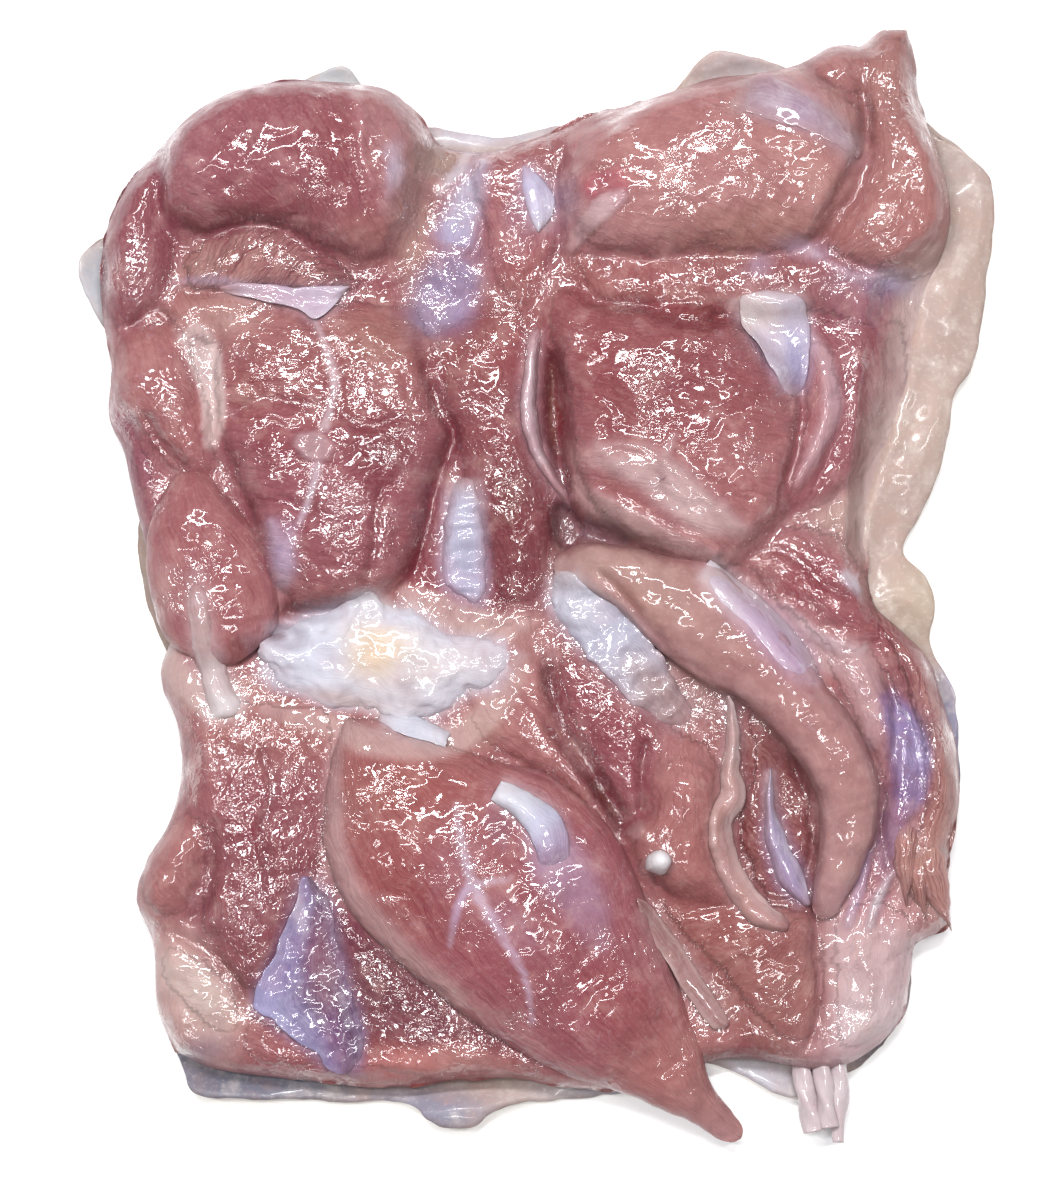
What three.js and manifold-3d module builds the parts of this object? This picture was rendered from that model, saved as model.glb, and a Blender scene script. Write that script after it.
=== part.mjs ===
// A boneless chicken thigh with its drumstick meat, laid open on its skin.
// Sizes are in millimetres. +Z is up from the surface that it lies on, +Y runs from the shank to the hip,
// +X to the right as it is looked down on, and the origin is under the middle of the whole piece.
import * as THREE from "three";
import { mergeVertices } from "three/addons/utils/BufferGeometryUtils.js";
import Module from "manifold-3d";

const wasm = await Module();
wasm.setup();

// Driving heights and clearances.
const SKIN = 1.6; // thickness of the skin under the meat
const FAT = 2.4; // what the fat under the skin adds where the skin shows beside the meat
const GAP = 0.35; // between the skin and the meat, and between the meat and what lies on it
const BASE = SKIN + GAP; // underside of the meat
const BED = 9; // height of the meat that joins all the muscles
const RIM_STEP = 1.4; // upright edge of the meat at its outline
const EDGE_ROUND = 6; // how far in from its outline the meat's edge is rounded
const UNDERCUT = 4; // how far a muscle reaches down below its widest line
const TUCK = 0.84; // width of a muscle's underside as a share of its whole width
const FULLNESS = 0.8; // how square a muscle's crown is across, 1 being an ellipse
const END_ROUND = 7; // length over which a muscle's crown falls off at its ends
const CROWD = 0.5; // how much closer the grid's lines are at its edges than in the middle

// Grid and section counts.
const BED_GRID = [24, 28];
const SKIN_GRID = [22, 26];
const ROW_LENGTH = 5; // greatest distance between two sections of a muscle
const CROWN_SIDES = 6;
const OUTLINE_STEPS = 60;
const DRAPE_REACH = 0.9; // a draped strip clears the meat this far to each side of each of its corners
const LOOSENESS = 0.04; // how far a face may be moved to spare a needless corner

// The meat's outline. Each side runs in the direction of +X or +Y, and neighbours share a corner.
const MEAT_SIDES = {
  bottom: [
    [-65, -84], [-59, -87], [-50, -88.5], [-38, -89.5], [-26, -90.5], [-16, -89.5], [-5, -89],
    [6, -90.5], [16, -91], [25, -88.5], [33, -85.5], [42, -86], [49, -87.5], [56, -86.5], [62, -83],
  ],
  right: [
    [62, -83], [66, -78], [67.6, -71], [68.4, -63], [72.4, -56], [74.6, -48], [76.4, -39], [76.2, -30],
    [73.6, -21], [70.8, -13], [66, -8], [59, -3], [57, 6], [58.5, 17], [60.5, 28], [62, 39], [65, 48],
    [71.5, 54.5], [74.6, 62], [75.2, 70], [73, 79], [69.8, 87], [68.6, 97],
  ],
  top: [
    [-68, 80], [-62, 86], [-54, 90], [-45, 91.6], [-34, 91.4], [-26.5, 90], [-21, 85], [-17, 80],
    [-8, 79], [2, 82], [10, 85.6], [19, 88], [30, 91.4], [42, 93.5], [48, 95], [54, 98.3], [59, 97.6],
    [64, 101], [68.6, 97],
  ],
  left: [
    [-65, -84], [-68.4, -76], [-69, -65], [-72, -57], [-70.4, -50], [-66, -42], [-64, -33], [-65, -25],
    [-68, -16], [-66, -8], [-70, 4], [-73, 16], [-75, 25], [-77.6, 31], [-77, 40], [-78.8, 52], [-78, 64],
    [-74, 73], [-68, 80],
  ],
};

// The skin's outline, in the same way. It shows as a wide fatty border at the right and as tongues elsewhere.
const SKIN_SIDES = {
  bottom: [
    [-64, -87.5], [-61.5, -91.8], [-54, -92.8], [-44, -92.8], [-33, -93.4], [-23, -93.4], [-19.5, -96.4],
    [-16, -98], [-11, -97.8], [-7.5, -95], [0, -93.2], [10, -92.4], [19, -91.6], [28, -86.5], [36, -88],
    [45, -92.4], [50, -90.5], [57, -88], [63, -83.5],
  ],
  right: [
    [63, -83.5], [67.6, -76], [67.8, -66], [68.6, -58], [72.6, -48], [76.6, -38], [76.6, -27], [75.4, -18],
    [71.6, -10.5], [72.4, -4], [70.6, 1.5], [66.8, 6], [69.4, 12], [72.6, 19], [75, 28], [76.4, 35],
    [79.4, 40], [81.4, 50], [82.6, 62], [82.8, 74], [77, 79.6], [72, 82.5],
  ],
  top: [
    [-65, 76], [-58, 84], [-48, 90], [-41, 93.2], [-35, 94.6], [-31.5, 91.4], [-24, 85], [-17, 83.6],
    [-7, 82], [3, 84], [14, 85], [25, 90], [31.5, 96.8], [40, 96.4], [47, 94.4], [57, 92], [65, 89],
    [72, 82.5],
  ],
  left: [
    [-64, -87.5], [-67, -80], [-66.4, -68], [-66, -55], [-62, -42], [-62, -28], [-66.4, -14], [-70.6, -3],
    [-72.2, 9], [-71, 22], [-73.5, 34], [-76.5, 44], [-80.4, 49], [-83, 58.8], [-77, 65], [-65, 76],
  ],
};

// The muscles. Each lies between two edges, a and b, that start and end at its two ends. rim is the height
// above the ground of its widest line and top that of its crown, from the first end to the last.
const MUSCLES = [
  {
    name: "hip dome", rim: [9, 9, 9], top: [16, 21, 22.5, 20, 15],
    a: [[-66, 67], [-67, 76], [-63, 84], [-55, 90], [-42, 92], [-30, 90.6], [-22.5, 85.5], [-18.6, 80.5]],
    b: [[-64.6, 65], [-59, 63.4], [-53, 64.6], [-45, 63.6], [-37.5, 60.2], [-30, 59.2], [-25.2, 63], [-20, 77]],
  },
  {
    name: "flank strip", rim: [7, 7], top: [11, 14.5, 14.5, 11],
    a: [[-68.5, 80.5], [-75, 73], [-78.6, 64], [-79, 54], [-77.4, 45]],
    b: [[-65.5, 78], [-66, 70], [-65.4, 63], [-65.6, 57], [-68, 51], [-73, 46]],
  },
  {
    name: "ribbed wedge", rim: [9, 9], top: [12, 14.5, 12.5],
    a: [[-64, 58], [-58, 62.6], [-50, 64.8], [-43, 62], [-37, 57.6], [-32.6, 54.4]],
    b: [[-62.4, 52.6], [-55, 53], [-48, 52.8], [-40, 52.4], [-33, 53]],
  },
  {
    name: "flank belly", rim: [7, 8], top: [12, 15.5, 13],
    a: [[-76, 46], [-77.4, 38], [-74.6, 32], [-69.6, 25], [-64, 19]],
    b: [[-66, 49], [-62, 42], [-60, 35], [-58, 27], [-58.4, 19]],
  },
  {
    name: "flank edge", rim: [6, 6], top: [9.5, 10.5, 9],
    a: [[-77, 34], [-76, 26], [-73.4, 17], [-71, 8]],
    b: [[-72, 34], [-70, 26], [-67.4, 18], [-67.4, 8]],
  },
  {
    name: "shank column", rim: [8, 8], top: [13, 16, 16.5, 14],
    a: [[-64.6, 21], [-68.4, 14], [-70, 6], [-69.4, -2], [-67, -9], [-61, -15]],
    b: [[-60, 21], [-54, 14], [-49, 7], [-46.6, 0], [-46.8, -8], [-52, -14.6]],
  },
  {
    name: "web", rim: [9, 9], top: [11.5, 12, 11.5],
    a: [[-68, 51], [-62, 54], [-54, 53.6], [-44, 53]],
    b: [[-64, 44], [-58, 43.6], [-50, 46], [-42, 47.6]],
  },
  {
    name: "inner thigh left", rim: [9, 9], top: [12, 14, 16.5, 17, 14],
    a: [[-55, 48.6], [-57, 38], [-56, 28], [-53, 18], [-49.4, 8], [-47.4, 1], [-45.6, -3.6]],
    b: [[-42, 49.4], [-37.4, 42], [-36.6, 32], [-38, 22], [-39, 12], [-38, 3], [-36.6, -5.2]],
  },
  {
    name: "inner thigh right", rim: [9, 9], top: [12.5, 14.5, 16.5, 17, 13],
    a: [[-39, 50], [-36.4, 42], [-36, 32], [-37.6, 22], [-38.6, 12], [-38.6, 3], [-38.6, -5.4]],
    b: [[-23, 49], [-19.6, 40], [-18.6, 33], [-16.4, 27], [-19.6, 18], [-21.4, 8], [-24, 1], [-29, -3]],
  },
  {
    name: "middle strap", rim: [8, 8], top: [11.5, 13.5, 13, 10.5],
    a: [[-19.6, 45], [-17, 34], [-15, 26], [-13.6, 18], [-9.6, 10], [-8.4, 2], [-7, -5]],
    b: [[-3, 49], [-1, 40], [-1.6, 32], [-0.4, 24], [1.6, 16], [2.6, 9], [0.6, -3]],
  },
  {
    name: "groove mound", rim: [8, 8], top: [10.5, 12.5, 11],
    a: [[-10, 81], [-12.4, 72], [-10, 64], [-8, 56], [-4, 49]],
    b: [[5, 83], [3.6, 74], [3.6, 66], [3, 58], [1, 50]],
  },
  {
    name: "outer thigh", rim: [9, 9], top: [13.5, 18.5, 20, 18, 14],
    a: [[5, 68], [8, 78], [14, 83], [22, 88], [32, 92], [42, 93.4], [50, 90.4], [56.4, 84], [58.6, 77]],
    b: [[6, 64], [12, 60.6], [20, 59.4], [30, 60], [40, 59.4], [48, 61.6], [54, 67], [57.4, 74]],
  },
  {
    name: "hip corner", rim: [6, 8], top: [8.5, 12, 18, 18.5, 15],
    a: [[63, 101], [59.6, 96.6], [58.4, 90], [60, 82], [58, 75], [55, 67], [51, 60]],
    b: [[68, 100.8], [68.6, 95], [69.6, 88], [72.6, 80], [75.4, 71], [75.6, 62], [70, 56.4], [60, 55.6]],
  },
  {
    name: "hip knuckle", rim: [8, 8], top: [10.5, 13, 12],
    a: [[47, 93.6], [51, 97.6], [55, 98.6], [59.6, 97.6]],
    b: [[46.6, 90.6], [50, 86], [55, 84], [60, 88]],
  },
  {
    name: "thigh band", rim: [9, 9], top: [12, 13, 13.5, 12],
    a: [[7, 58.6], [20, 59], [32, 60], [44, 60], [52, 60], [62, 56]],
    b: [[11, 49], [22, 48.4], [33, 48], [44, 48.6], [52, 48.6], [60, 46]],
  },
  {
    name: "thigh pillow", rim: [9, 8.5], top: [14, 18.5, 19.5, 16.5],
    a: [[3, 51], [4, 42], [6, 34], [7, 26], [8, 19], [12, 12.6], [18, 8.4], [27, 4]],
    b: [[22, 50], [34, 47.4], [41, 42], [46, 36], [47.4, 28], [46, 19], [43, 11.6], [36, 4]],
  },
  {
    name: "thigh plate", rim: [8, 8], top: [11, 12.5, 11],
    a: [[47.6, 46], [51, 36], [52, 28], [50, 20], [46, 12]],
    b: [[64.6, 47], [63.6, 38], [62.4, 29], [60, 21], [53, 14]],
  },
  {
    name: "thigh ridge", rim: [10, 10], top: [12, 14, 13.5, 12],
    a: [[48, 42], [48.6, 34], [47.4, 25], [44.4, 14]],
    b: [[52, 42], [54.6, 33], [52.4, 24], [48.4, 14.6]],
  },
  {
    name: "fat corner", rim: [6, 6], top: [9.5, 10, 9],
    a: [[46, 16], [55, 19], [61, 15], [64, 8], [67, 3]],
    b: [[44, 9], [52, 8], [57, 5], [60, -2]],
  },
  {
    name: "shin arch", rim: [10, 10.5, 10.5, 9.5], top: [12.5, 17.5, 19.5, 20.5, 19.5, 17, 13],
    a: [
      [3, 5.6], [9, 7.6], [16, 7], [24, 5], [31, 4], [37, -1], [44, -8], [51, -17], [57, -25],
      [61, -34], [61, -44], [58, -52], [53, -60],
    ],
    b: [
      [3.4, 1], [9, -1], [15, -5], [21, -11], [29, -17], [36, -20.6], [42, -26], [47, -32],
      [50.4, -39], [50.6, -47], [49.4, -54], [49.4, -60],
    ],
  },
  {
    name: "hock knuckle", rim: [9, 9], top: [12, 14, 12.5],
    a: [[37, 6], [44, 9.4], [50, 8.4], [56, 5], [60.6, -2]],
    b: [[40, 0], [45, -5], [50, -9.4], [56, -12.6], [62, -10]],
  },
  {
    name: "outer shin web", rim: [8, 8], top: [12.6, 13, 12, 10.5],
    a: [[56, -10], [62, -14], [66, -22], [70, -31], [70.6, -39], [68, -48], [65, -56]],
    b: [[51, -14], [56, -22], [60, -31], [61.4, -40], [60, -48], [56, -57]],
  },
  {
    name: "outer shin edge", rim: [7, 7], top: [11, 14, 15, 14, 10.5, 7.5],
    a: [[57, 1.4], [61, -6], [65, -13], [68, -21], [70.6, -30], [71, -38], [70, -46], [69.6, -53], [73.4, -60.6]],
    b: [[62, 0], [68, -6], [72, -13], [75, -22], [77, -32], [76.6, -42], [74.6, -50], [74, -56], [74.6, -60.4]],
  },
  {
    name: "calf heart", rim: [8, 8], top: [11.5, 13, 12.5],
    a: [[2.6, -10], [4.6, -20], [8, -29], [13, -37], [17, -43]],
    b: [[12, -12], [19, -19], [25, -27], [23.4, -34], [21, -42]],
  },
  {
    name: "calf lobe", rim: [8.5, 8.5], top: [13, 15.5, 14.5, 12],
    a: [[23, -26.4], [20.4, -34], [20.6, -41], [16.6, -46], [20, -53], [27, -57.6]],
    b: [[30, -28.6], [33, -36], [33, -43], [33, -50], [37, -57]],
  },
  {
    name: "calf hollow", rim: [8, 8], top: [9.5, 10, 10.5, 11],
    a: [[33, -19], [35.6, -30], [35, -40], [36, -50], [40, -58], [45, -63]],
    b: [[43, -25], [48.6, -33], [51.4, -41], [51, -50], [50, -60]],
  },
  {
    name: "ankle fan", rim: [8, 8], top: [12.5, 13, 12.5, 11.5],
    a: [[46.6, -58.6], [38, -56.6], [28, -55.4], [18, -54]],
    b: [[49.4, -60.6], [51.4, -70], [51.6, -78], [48, -87]],
  },
  {
    name: "ankle fat", rim: [6.5, 6.5], top: [11, 12, 11, 9.5],
    a: [[51, -56], [50.6, -66], [51, -76], [49, -87]],
    b: [[66.6, -55], [68.4, -64], [67.6, -72], [65.4, -79], [58, -86.6]],
  },
  {
    name: "knee web", rim: [9, 9], top: [11.5, 12.5, 13],
    a: [[-13, -12], [-12, -22], [-9, -29], [-3, -32], [4, -35], [11, -41], [16, -48]],
    b: [[-1, -6], [1, -15], [4, -24], [8, -31], [13, -39], [18, -47]],
  },
  {
    name: "big calf", rim: [9, 9, 9, 8, 6, 4.5], top: [13, 18.5, 21.5, 22, 19, 13, 6],
    a: [
      [-34.6, -24.4], [-36.6, -31], [-38, -40], [-37.6, -49], [-33.6, -58], [-27, -65.4], [-18, -73.4],
      [-8, -80.6], [4, -87.6], [16, -91.4], [26, -95.8], [35.6, -101],
    ],
    b: [
      [-33, -23.6], [-26, -25], [-16, -29], [-6, -32], [2, -34], [9, -39], [15, -46], [19, -55],
      [22.6, -64], [26.6, -73], [29.6, -82], [31.6, -90], [38, -98],
    ],
  },
  {
    name: "rough shank", rim: [8, 8], top: [12, 13.5, 13.5, 12],
    a: [[-62, -21], [-64.6, -32], [-63, -42], [-60, -52], [-60, -62], [-54, -72]],
    b: [[-37, -22], [-37, -34], [-38.4, -44], [-40, -54], [-44, -62], [-47, -74]],
  },
  {
    name: "flank lobe", rim: [6.5, 6.5], top: [11.5, 13.5, 12],
    a: [[-62, -40], [-68.4, -46], [-72.2, -53], [-70.4, -58.6], [-65, -60.4]],
    b: [[-59.6, -41], [-58.4, -47], [-59.4, -53], [-62, -59]],
  },
  {
    name: "shank fat", rim: [5.5, 5.5], top: [10, 11.5, 10.5],
    a: [[-69, -62], [-69.2, -70], [-65, -77.6], [-58, -83.6], [-52.6, -81]],
    b: [[-66.6, -61.4], [-61, -65.6], [-55, -70], [-52, -75], [-51.4, -79]],
  },
  {
    name: "shank foot", rim: [8, 8], top: [12, 12, 11.5, 10],
    a: [[-38, -54], [-37, -66], [-37, -78], [-38, -89]],
    b: [[-34, -57], [-24, -67], [-12, -77], [2, -86], [9, -90.6]],
  },
  {
    name: "shank sole", rim: [7, 7], top: [10, 10.5, 10],
    a: [[-52, -72], [-45, -77], [-36, -80]],
    b: [[-60, -85], [-49, -88.6], [-36, -90]],
  },
];

// Pits in the meat between the muscles: place, radius and depth.
const HOLLOWS = [
  { at: [-17, 77], radius: 6, deep: 2 },
  { at: [-17, 66], radius: 7, deep: 1.6 },
  { at: [-18, 51], radius: 8, deep: 1.8 },
  { at: [6, 10], radius: 4.5, deep: 4 },
  { at: [12, 71.5], radius: 4, deep: 1.5 },
  { at: [-44, -9], radius: 3.5, deep: 3 },
  { at: [-12, 6], radius: 4, deep: 1.5 },
];

// Tendons, membranes and cartilage that lie on the meat: path, half width and thickness at each point, and
// lift, how far the middle stands above the meat.
const STRIPS = [
  {
    name: "knee_cartilage", thick: [2, 2.8, 3.2, 2.4, 1.6], lift: 0.4, colour: 0xdfe0e6,
    a: [[-47.6, -8], [-40, -5.6], [-31, -2.4], [-22, -5], [-13, -9.6], [-5, -10.4]],
    b: [[-49, -15], [-44, -19.6], [-34, -22], [-24, -24.6], [-15, -22], [-8, -18.6], [-5, -15]],
  },
  { name: "knee_flap", path: [[-23.5, -25], [-18, -26.5]], half: [1.6, 2], thick: [1, 1.2], lift: 0.6, colour: 0xd8dcea },
  { name: "column_tendon", path: [[-60.4, 2], [-59.4, -9], [-55.6, -19], [-54.4, -22]], half: [1, 1.7, 2.4, 2.6], thick: [1, 1.4, 2.4, 2.6], lift: 0.3, colour: 0xd9c4be },
  { name: "wedge_membrane", path: [[-55, 53.6], [-46, 52.2], [-37, 51.4]], half: [0.8, 1.5, 2.2], thick: [0.8, 1, 1.2], lift: 0.6, colour: 0xd6bcc0 },
  { name: "hip_tendon_flap", path: [[39, 88], [46, 86.4], [52, 82], [57.4, 77.6]], half: [1.6, 3, 3, 1.6], thick: [1, 1.6, 1.8, 1.4], lift: 0.3, colour: 0xcdb5bc },
  { name: "groove_cord", path: [[2, 42], [0, 35], [0.8, 27], [4.6, 17.6]], half: [1.2, 1.5, 1.3, 1], thick: [1.6, 2, 1.8, 1.4], lift: 0.3, colour: 0xcfb4ba },
  {
    name: "pillow_flap", thick: [1.2, 1.6, 1.4, 1], lift: 0.5, colour: 0xd6c8cd,
    a: [[35.6, 51], [37, 47.6], [39.6, 43.4], [43, 37.6], [45.4, 34]],
    b: [[46, 52], [48.4, 49], [48.6, 43], [48.4, 38], [47.4, 34.4]],
  },
  { name: "strap_tendon", path: [[-13.2, 14], [-13, 6], [-12.2, -1]], half: [2.6, 3, 2.4], thick: [1.6, 2.2, 1.6], lift: 0.3, colour: 0xc3bfd0 },
  {
    name: "arch_fascia", thick: [1.4, 1.8, 1.8, 1.4, 1], lift: 0.4, colour: 0xd3cedb,
    a: [[3, -0.6], [4, -5], [8, -10.4], [13, -16], [19, -22], [25, -25.4]],
    b: [[6, 1.4], [9.6, -1.6], [15, -5.6], [20, -11.6], [24, -17.6], [28.4, -24]],
  },
  { name: "arch_tendon", path: [[32, 1], [36, -3], [42, -9.4], [48, -17]], half: [1.4, 2.6, 2.8, 1.4], thick: [1, 1.3, 1.3, 0.9], lift: 0.2, colour: 0xcbb6c2 },
  { name: "curled_strip", path: [[35, -23], [35.2, -31], [33.4, -39], [34, -48], [38.4, -55.6], [43.4, -60.4]], half: [0.8, 1.6, 1.5, 1.8, 2, 1.5], thick: [1.2, 2, 2.2, 2.4, 2.2, 1.4], lift: 0.8, colour: 0xc9a09a },
  { name: "calf_membrane", path: [[42, -39], [42.8, -47], [46.6, -55.6]], half: [0.8, 1.8, 0.9], thick: [1, 1.8, 1], lift: 0.8, colour: 0xb49ab8 },
  { name: "fan_strip", path: [[20, -58], [24, -66], [28.4, -73], [32.4, -78]], half: [1, 2.2, 2.2, 1], thick: [1, 1.3, 1.3, 0.9], lift: 0.6, colour: 0xc29a92 },
  { name: "calf_tendon", path: [[-5.4, -36.4], [-1, -38.6], [2.4, -43], [2.8, -47]], half: [2, 2.4, 2, 1.1], thick: [1.4, 1.9, 1.6, 1], lift: 0.4, colour: 0xd8d0dc },
  {
    name: "shank_membrane", thick: [1, 1.2, 1.4, 1.2], lift: 0.6, colour: 0xa98fb4,
    a: [[-42, -53], [-45, -60], [-48, -70], [-51, -75.6], [-45, -80], [-37, -86]],
    b: [[-39.4, -53], [-37, -57], [-35.4, -65], [-34.4, -74], [-33.4, -81], [-33.6, -87]],
  },
  { name: "cartilage_chip", path: [[21.6, -49.4], [21.8, -51]], half: [2.3, 1.5], thick: [2.6, 2.2], lift: 0.2, colour: 0xe6dfdc },
];

// The cut shank tendons beyond the meat: round strands, with the height of their middle line in rise.
const STRANDS = [
  { path: [[47.6, -82], [48.4, -90], [50.2, -98.4]], half: [1.6, 1.8, 2], rise: 4.6 },
  { path: [[51, -82], [52, -91], [52.8, -97.6]], half: [1.5, 1.7, 1.6], rise: 5.4 },
  { path: [[54, -81], [54.6, -90], [54.4, -100.4]], half: [1.8, 1.8, 1], rise: 4.6 },
];

// Where the skin's free border curls up from the ground: place, reach and height.
const CURLS = [
  { at: [-82, 56], reach: 12, high: 3.5 },
  { at: [-36, 94], reach: 14, high: 4 },
  { at: [38, 96], reach: 16, high: 4.5 },
  { at: [82, 70], reach: 26, high: 2.4 },
  { at: [76, 28], reach: 20, high: 2.8 },
  { at: [72, -4], reach: 14, high: 3 },
  { at: [77, -24], reach: 16, high: 4 },
  { at: [-60, -91], reach: 22, high: 3.6 },
  { at: [-20, -96], reach: 24, high: 3.2 },
  { at: [42, -91], reach: 14, high: 2.4 },
];
const CURL_REACH = 6; // distance outside the meat over which a curl rises

const clamp = THREE.MathUtils.clamp;
const lerp = THREE.MathUtils.lerp;

// A smooth curve through a row of points of up to three numbers.
function curveThrough(points) {
  const places = points.map(([x, y = 0, z = 0]) => new THREE.Vector3(x, y, z));
  return new THREE.CatmullRomCurve3(places, false, "catmullrom", 0.5);
}

// A number read between the values of a row, from the first at 0 to the last at 1.
function along(row, t) {
  const place = t * (row.length - 1);
  const i = Math.min(Math.floor(place), row.length - 2);
  return lerp(row[i], row[i + 1], place - i);
}

// The two edges of an item as functions of t, from its a and b rows or from its path and half widths.
function edgesOf(item) {
  if (item.path) {
    const line = curveThrough(item.path);
    const edge = (sign) => (t) => {
      const { x, y } = line.getTangentAt(t);
      const side = sign * along(item.half, t);
      return line.getPointAt(t).add(new THREE.Vector3(-y * side, x * side, 0));
    };
    return [edge(1), edge(-1), line.getLength()];
  }
  const [first, second] = [item.a, item.b].map(curveThrough);
  const length = (first.getLength() + second.getLength()) / 2;
  return [(t) => first.getPointAt(t), (t) => second.getPointAt(t), length];
}

// Height of the joining meat: level, less the pits.
function bedHeight(x, y) {
  return HOLLOWS.reduce((height, { at, radius, deep }) => {
    const share = Math.min(Math.hypot(x - at[0], y - at[1]) / radius, 1);
    return height - deep * (1 - share * share) ** 2;
  }, BED);
}

// The four curves of an outline, and a place in the patch that they span.
function patchOf(sides) {
  const curves = Object.fromEntries(Object.entries(sides).map(([k, points]) => [k, curveThrough(points)]));
  const corner = (side, end) => curves[side].getPoint(end);
  return (u, v) => {
    const across = corner("bottom", 0).multiplyScalar((1 - u) * (1 - v))
      .add(corner("bottom", 1).multiplyScalar(u * (1 - v)))
      .add(corner("top", 0).multiplyScalar((1 - u) * v))
      .add(corner("top", 1).multiplyScalar(u * v));
    return curves.bottom.getPointAt(u).multiplyScalar(1 - v)
      .add(curves.top.getPointAt(u).multiplyScalar(v))
      .add(curves.left.getPointAt(v).multiplyScalar(1 - u))
      .add(curves.right.getPointAt(v).multiplyScalar(u))
      .sub(across);
  };
}

// The closed outline of a patch as a row of points, counterclockwise.
function loopOf(patch, count) {
  const steps = Array.from({ length: count }, (_, i) => i / count);
  return [
    ...steps.map((t) => patch(t, 0)),
    ...steps.map((t) => patch(1, t)),
    ...steps.map((t) => patch(1 - t, 1)),
    ...steps.map((t) => patch(0, 1 - t)),
  ];
}

// Distance to a closed outline, positive outside it.
function outside(loop, x, y) {
  let least = Infinity;
  let inside = false;
  for (let i = 0, j = loop.length - 1; i < loop.length; j = i++) {
    const a = loop[j];
    const b = loop[i];
    const dx = b.x - a.x;
    const dy = b.y - a.y;
    const f = clamp(((x - a.x) * dx + (y - a.y) * dy) / (dx * dx + dy * dy || 1), 0, 1);
    least = Math.min(least, Math.hypot(x - a.x - f * dx, y - a.y - f * dy));
    if (a.y > y !== b.y > y && x < ((b.x - a.x) * (y - a.y)) / (b.y - a.y) + a.x) inside = !inside;
  }
  return inside ? -least : least;
}

const meatPatch = patchOf(MEAT_SIDES);
const skinPatch = patchOf(SKIN_SIDES);
const meatLoop = loopOf(meatPatch, OUTLINE_STEPS);

// Height of the meat's bed with its edge rounded down to the outline.
function bedTop(x, y) {
  const depth = clamp(-outside(meatLoop, x, y) / EDGE_ROUND, 0, 1);
  const round = Math.sqrt(1 - (1 - depth) ** 2);
  return BASE + RIM_STEP + (bedHeight(x, y) - BASE - RIM_STEP) * round;
}

// A closed geometry from plain lists of places and triangles.
function geometryOf(places, triangles) {
  const geometry = new THREE.BufferGeometry();
  geometry.setAttribute("position", new THREE.Float32BufferAttribute(places.flat(), 3));
  geometry.setIndex(triangles.flat());
  return geometry;
}

// The same geometry, turned so that its faces look outward.
function facingOut(geometry) {
  const p = geometry.attributes.position;
  const index = geometry.index.array;
  const [a, b, c] = [0, 1, 2].map(() => new THREE.Vector3());
  let volume = 0;
  for (let i = 0; i < index.length; i += 3) {
    a.fromBufferAttribute(p, index[i]);
    b.fromBufferAttribute(p, index[i + 1]);
    c.fromBufferAttribute(p, index[i + 2]);
    volume += a.dot(b.cross(c));
  }
  if (volume < 0) for (let i = 0; i < index.length; i += 3) [index[i], index[i + 1]] = [index[i + 1], index[i]];
  return geometry;
}

function solidOf(geometry) {
  const merged = mergeVertices(geometry, 1e-4);
  return new wasm.Manifold(
    new wasm.Mesh({
      numProp: 3,
      vertProperties: merged.attributes.position.array,
      triVerts: new Uint32Array(merged.index.array),
    }),
  );
}

// The largest piece of a solid, for where a cut leaves crumbs.
function largest(solid) {
  return solid.decompose().reduce((a, b) => (b.volume() > a.volume() ? b : a));
}

function geometryFrom(solid) {
  const { vertProperties, triVerts } = largest(solid.simplify(LOOSENESS)).getMesh();
  const geometry = new THREE.BufferGeometry();
  geometry.setAttribute("position", new THREE.BufferAttribute(vertProperties, 3));
  geometry.setIndex(new THREE.BufferAttribute(triVerts, 1));
  geometry.computeVertexNormals();
  return geometry;
}

// Grid steps from 0 to 1 that crowd towards both ends.
function crowdedSteps(count) {
  return Array.from({ length: count + 1 }, (_, i) => {
    const t = i / count;
    return t - (CROWD * Math.sin(2 * Math.PI * t)) / (2 * Math.PI);
  });
}

// A sheet over a patch, closed below: heights(x, y) gives its [underside, top] at a place.
function sheetOver(patch, [columns, rows], heights, flatBelow) {
  const us = crowdedSteps(columns);
  const vs = crowdedSteps(rows);
  const tops = [];
  const unders = [];
  for (const v of vs) {
    for (const u of us) {
      const { x, y } = patch(u, v);
      const [under, top] = heights(x, y);
      tops.push([x, y, top]);
      unders.push([x, y, under]);
    }
  }
  const at = (i, j) => j * (columns + 1) + i;
  const rim = [];
  for (let i = 0; i < columns; i++) rim.push(at(i, 0));
  for (let j = 0; j < rows; j++) rim.push(at(columns, j));
  for (let i = columns; i > 0; i--) rim.push(at(i, rows));
  for (let j = rows; j > 0; j--) rim.push(at(0, j));

  const triangles = [];
  for (let j = 0; j < rows; j++) {
    for (let i = 0; i < columns; i++) {
      triangles.push([at(i, j), at(i + 1, j), at(i + 1, j + 1)], [at(i, j), at(i + 1, j + 1), at(i, j + 1)]);
    }
  }
  const places = [...tops];
  let below;
  if (flatBelow) {
    below = new Map(rim.map((index, k) => [index, places.length + k]));
    for (const index of rim) places.push(unders[index]);
    const contour = rim.map((index) => new THREE.Vector2(unders[index][0], unders[index][1]));
    for (const [a, b, c] of THREE.ShapeUtils.triangulateShape(contour, [])) {
      triangles.push([below.get(rim[a]), below.get(rim[c]), below.get(rim[b])]);
    }
  } else {
    const offset = tops.length;
    below = new Map(rim.map((index) => [index, index + offset]));
    places.push(...unders);
    for (const [a, b, c] of [...triangles]) triangles.push([a + offset, c + offset, b + offset]);
  }
  rim.forEach((a, k) => {
    const b = rim[(k + 1) % rim.length];
    triangles.push([a, below.get(a), below.get(b)], [a, below.get(b), b]);
  });
  return geometryOf(places, triangles);
}

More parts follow.
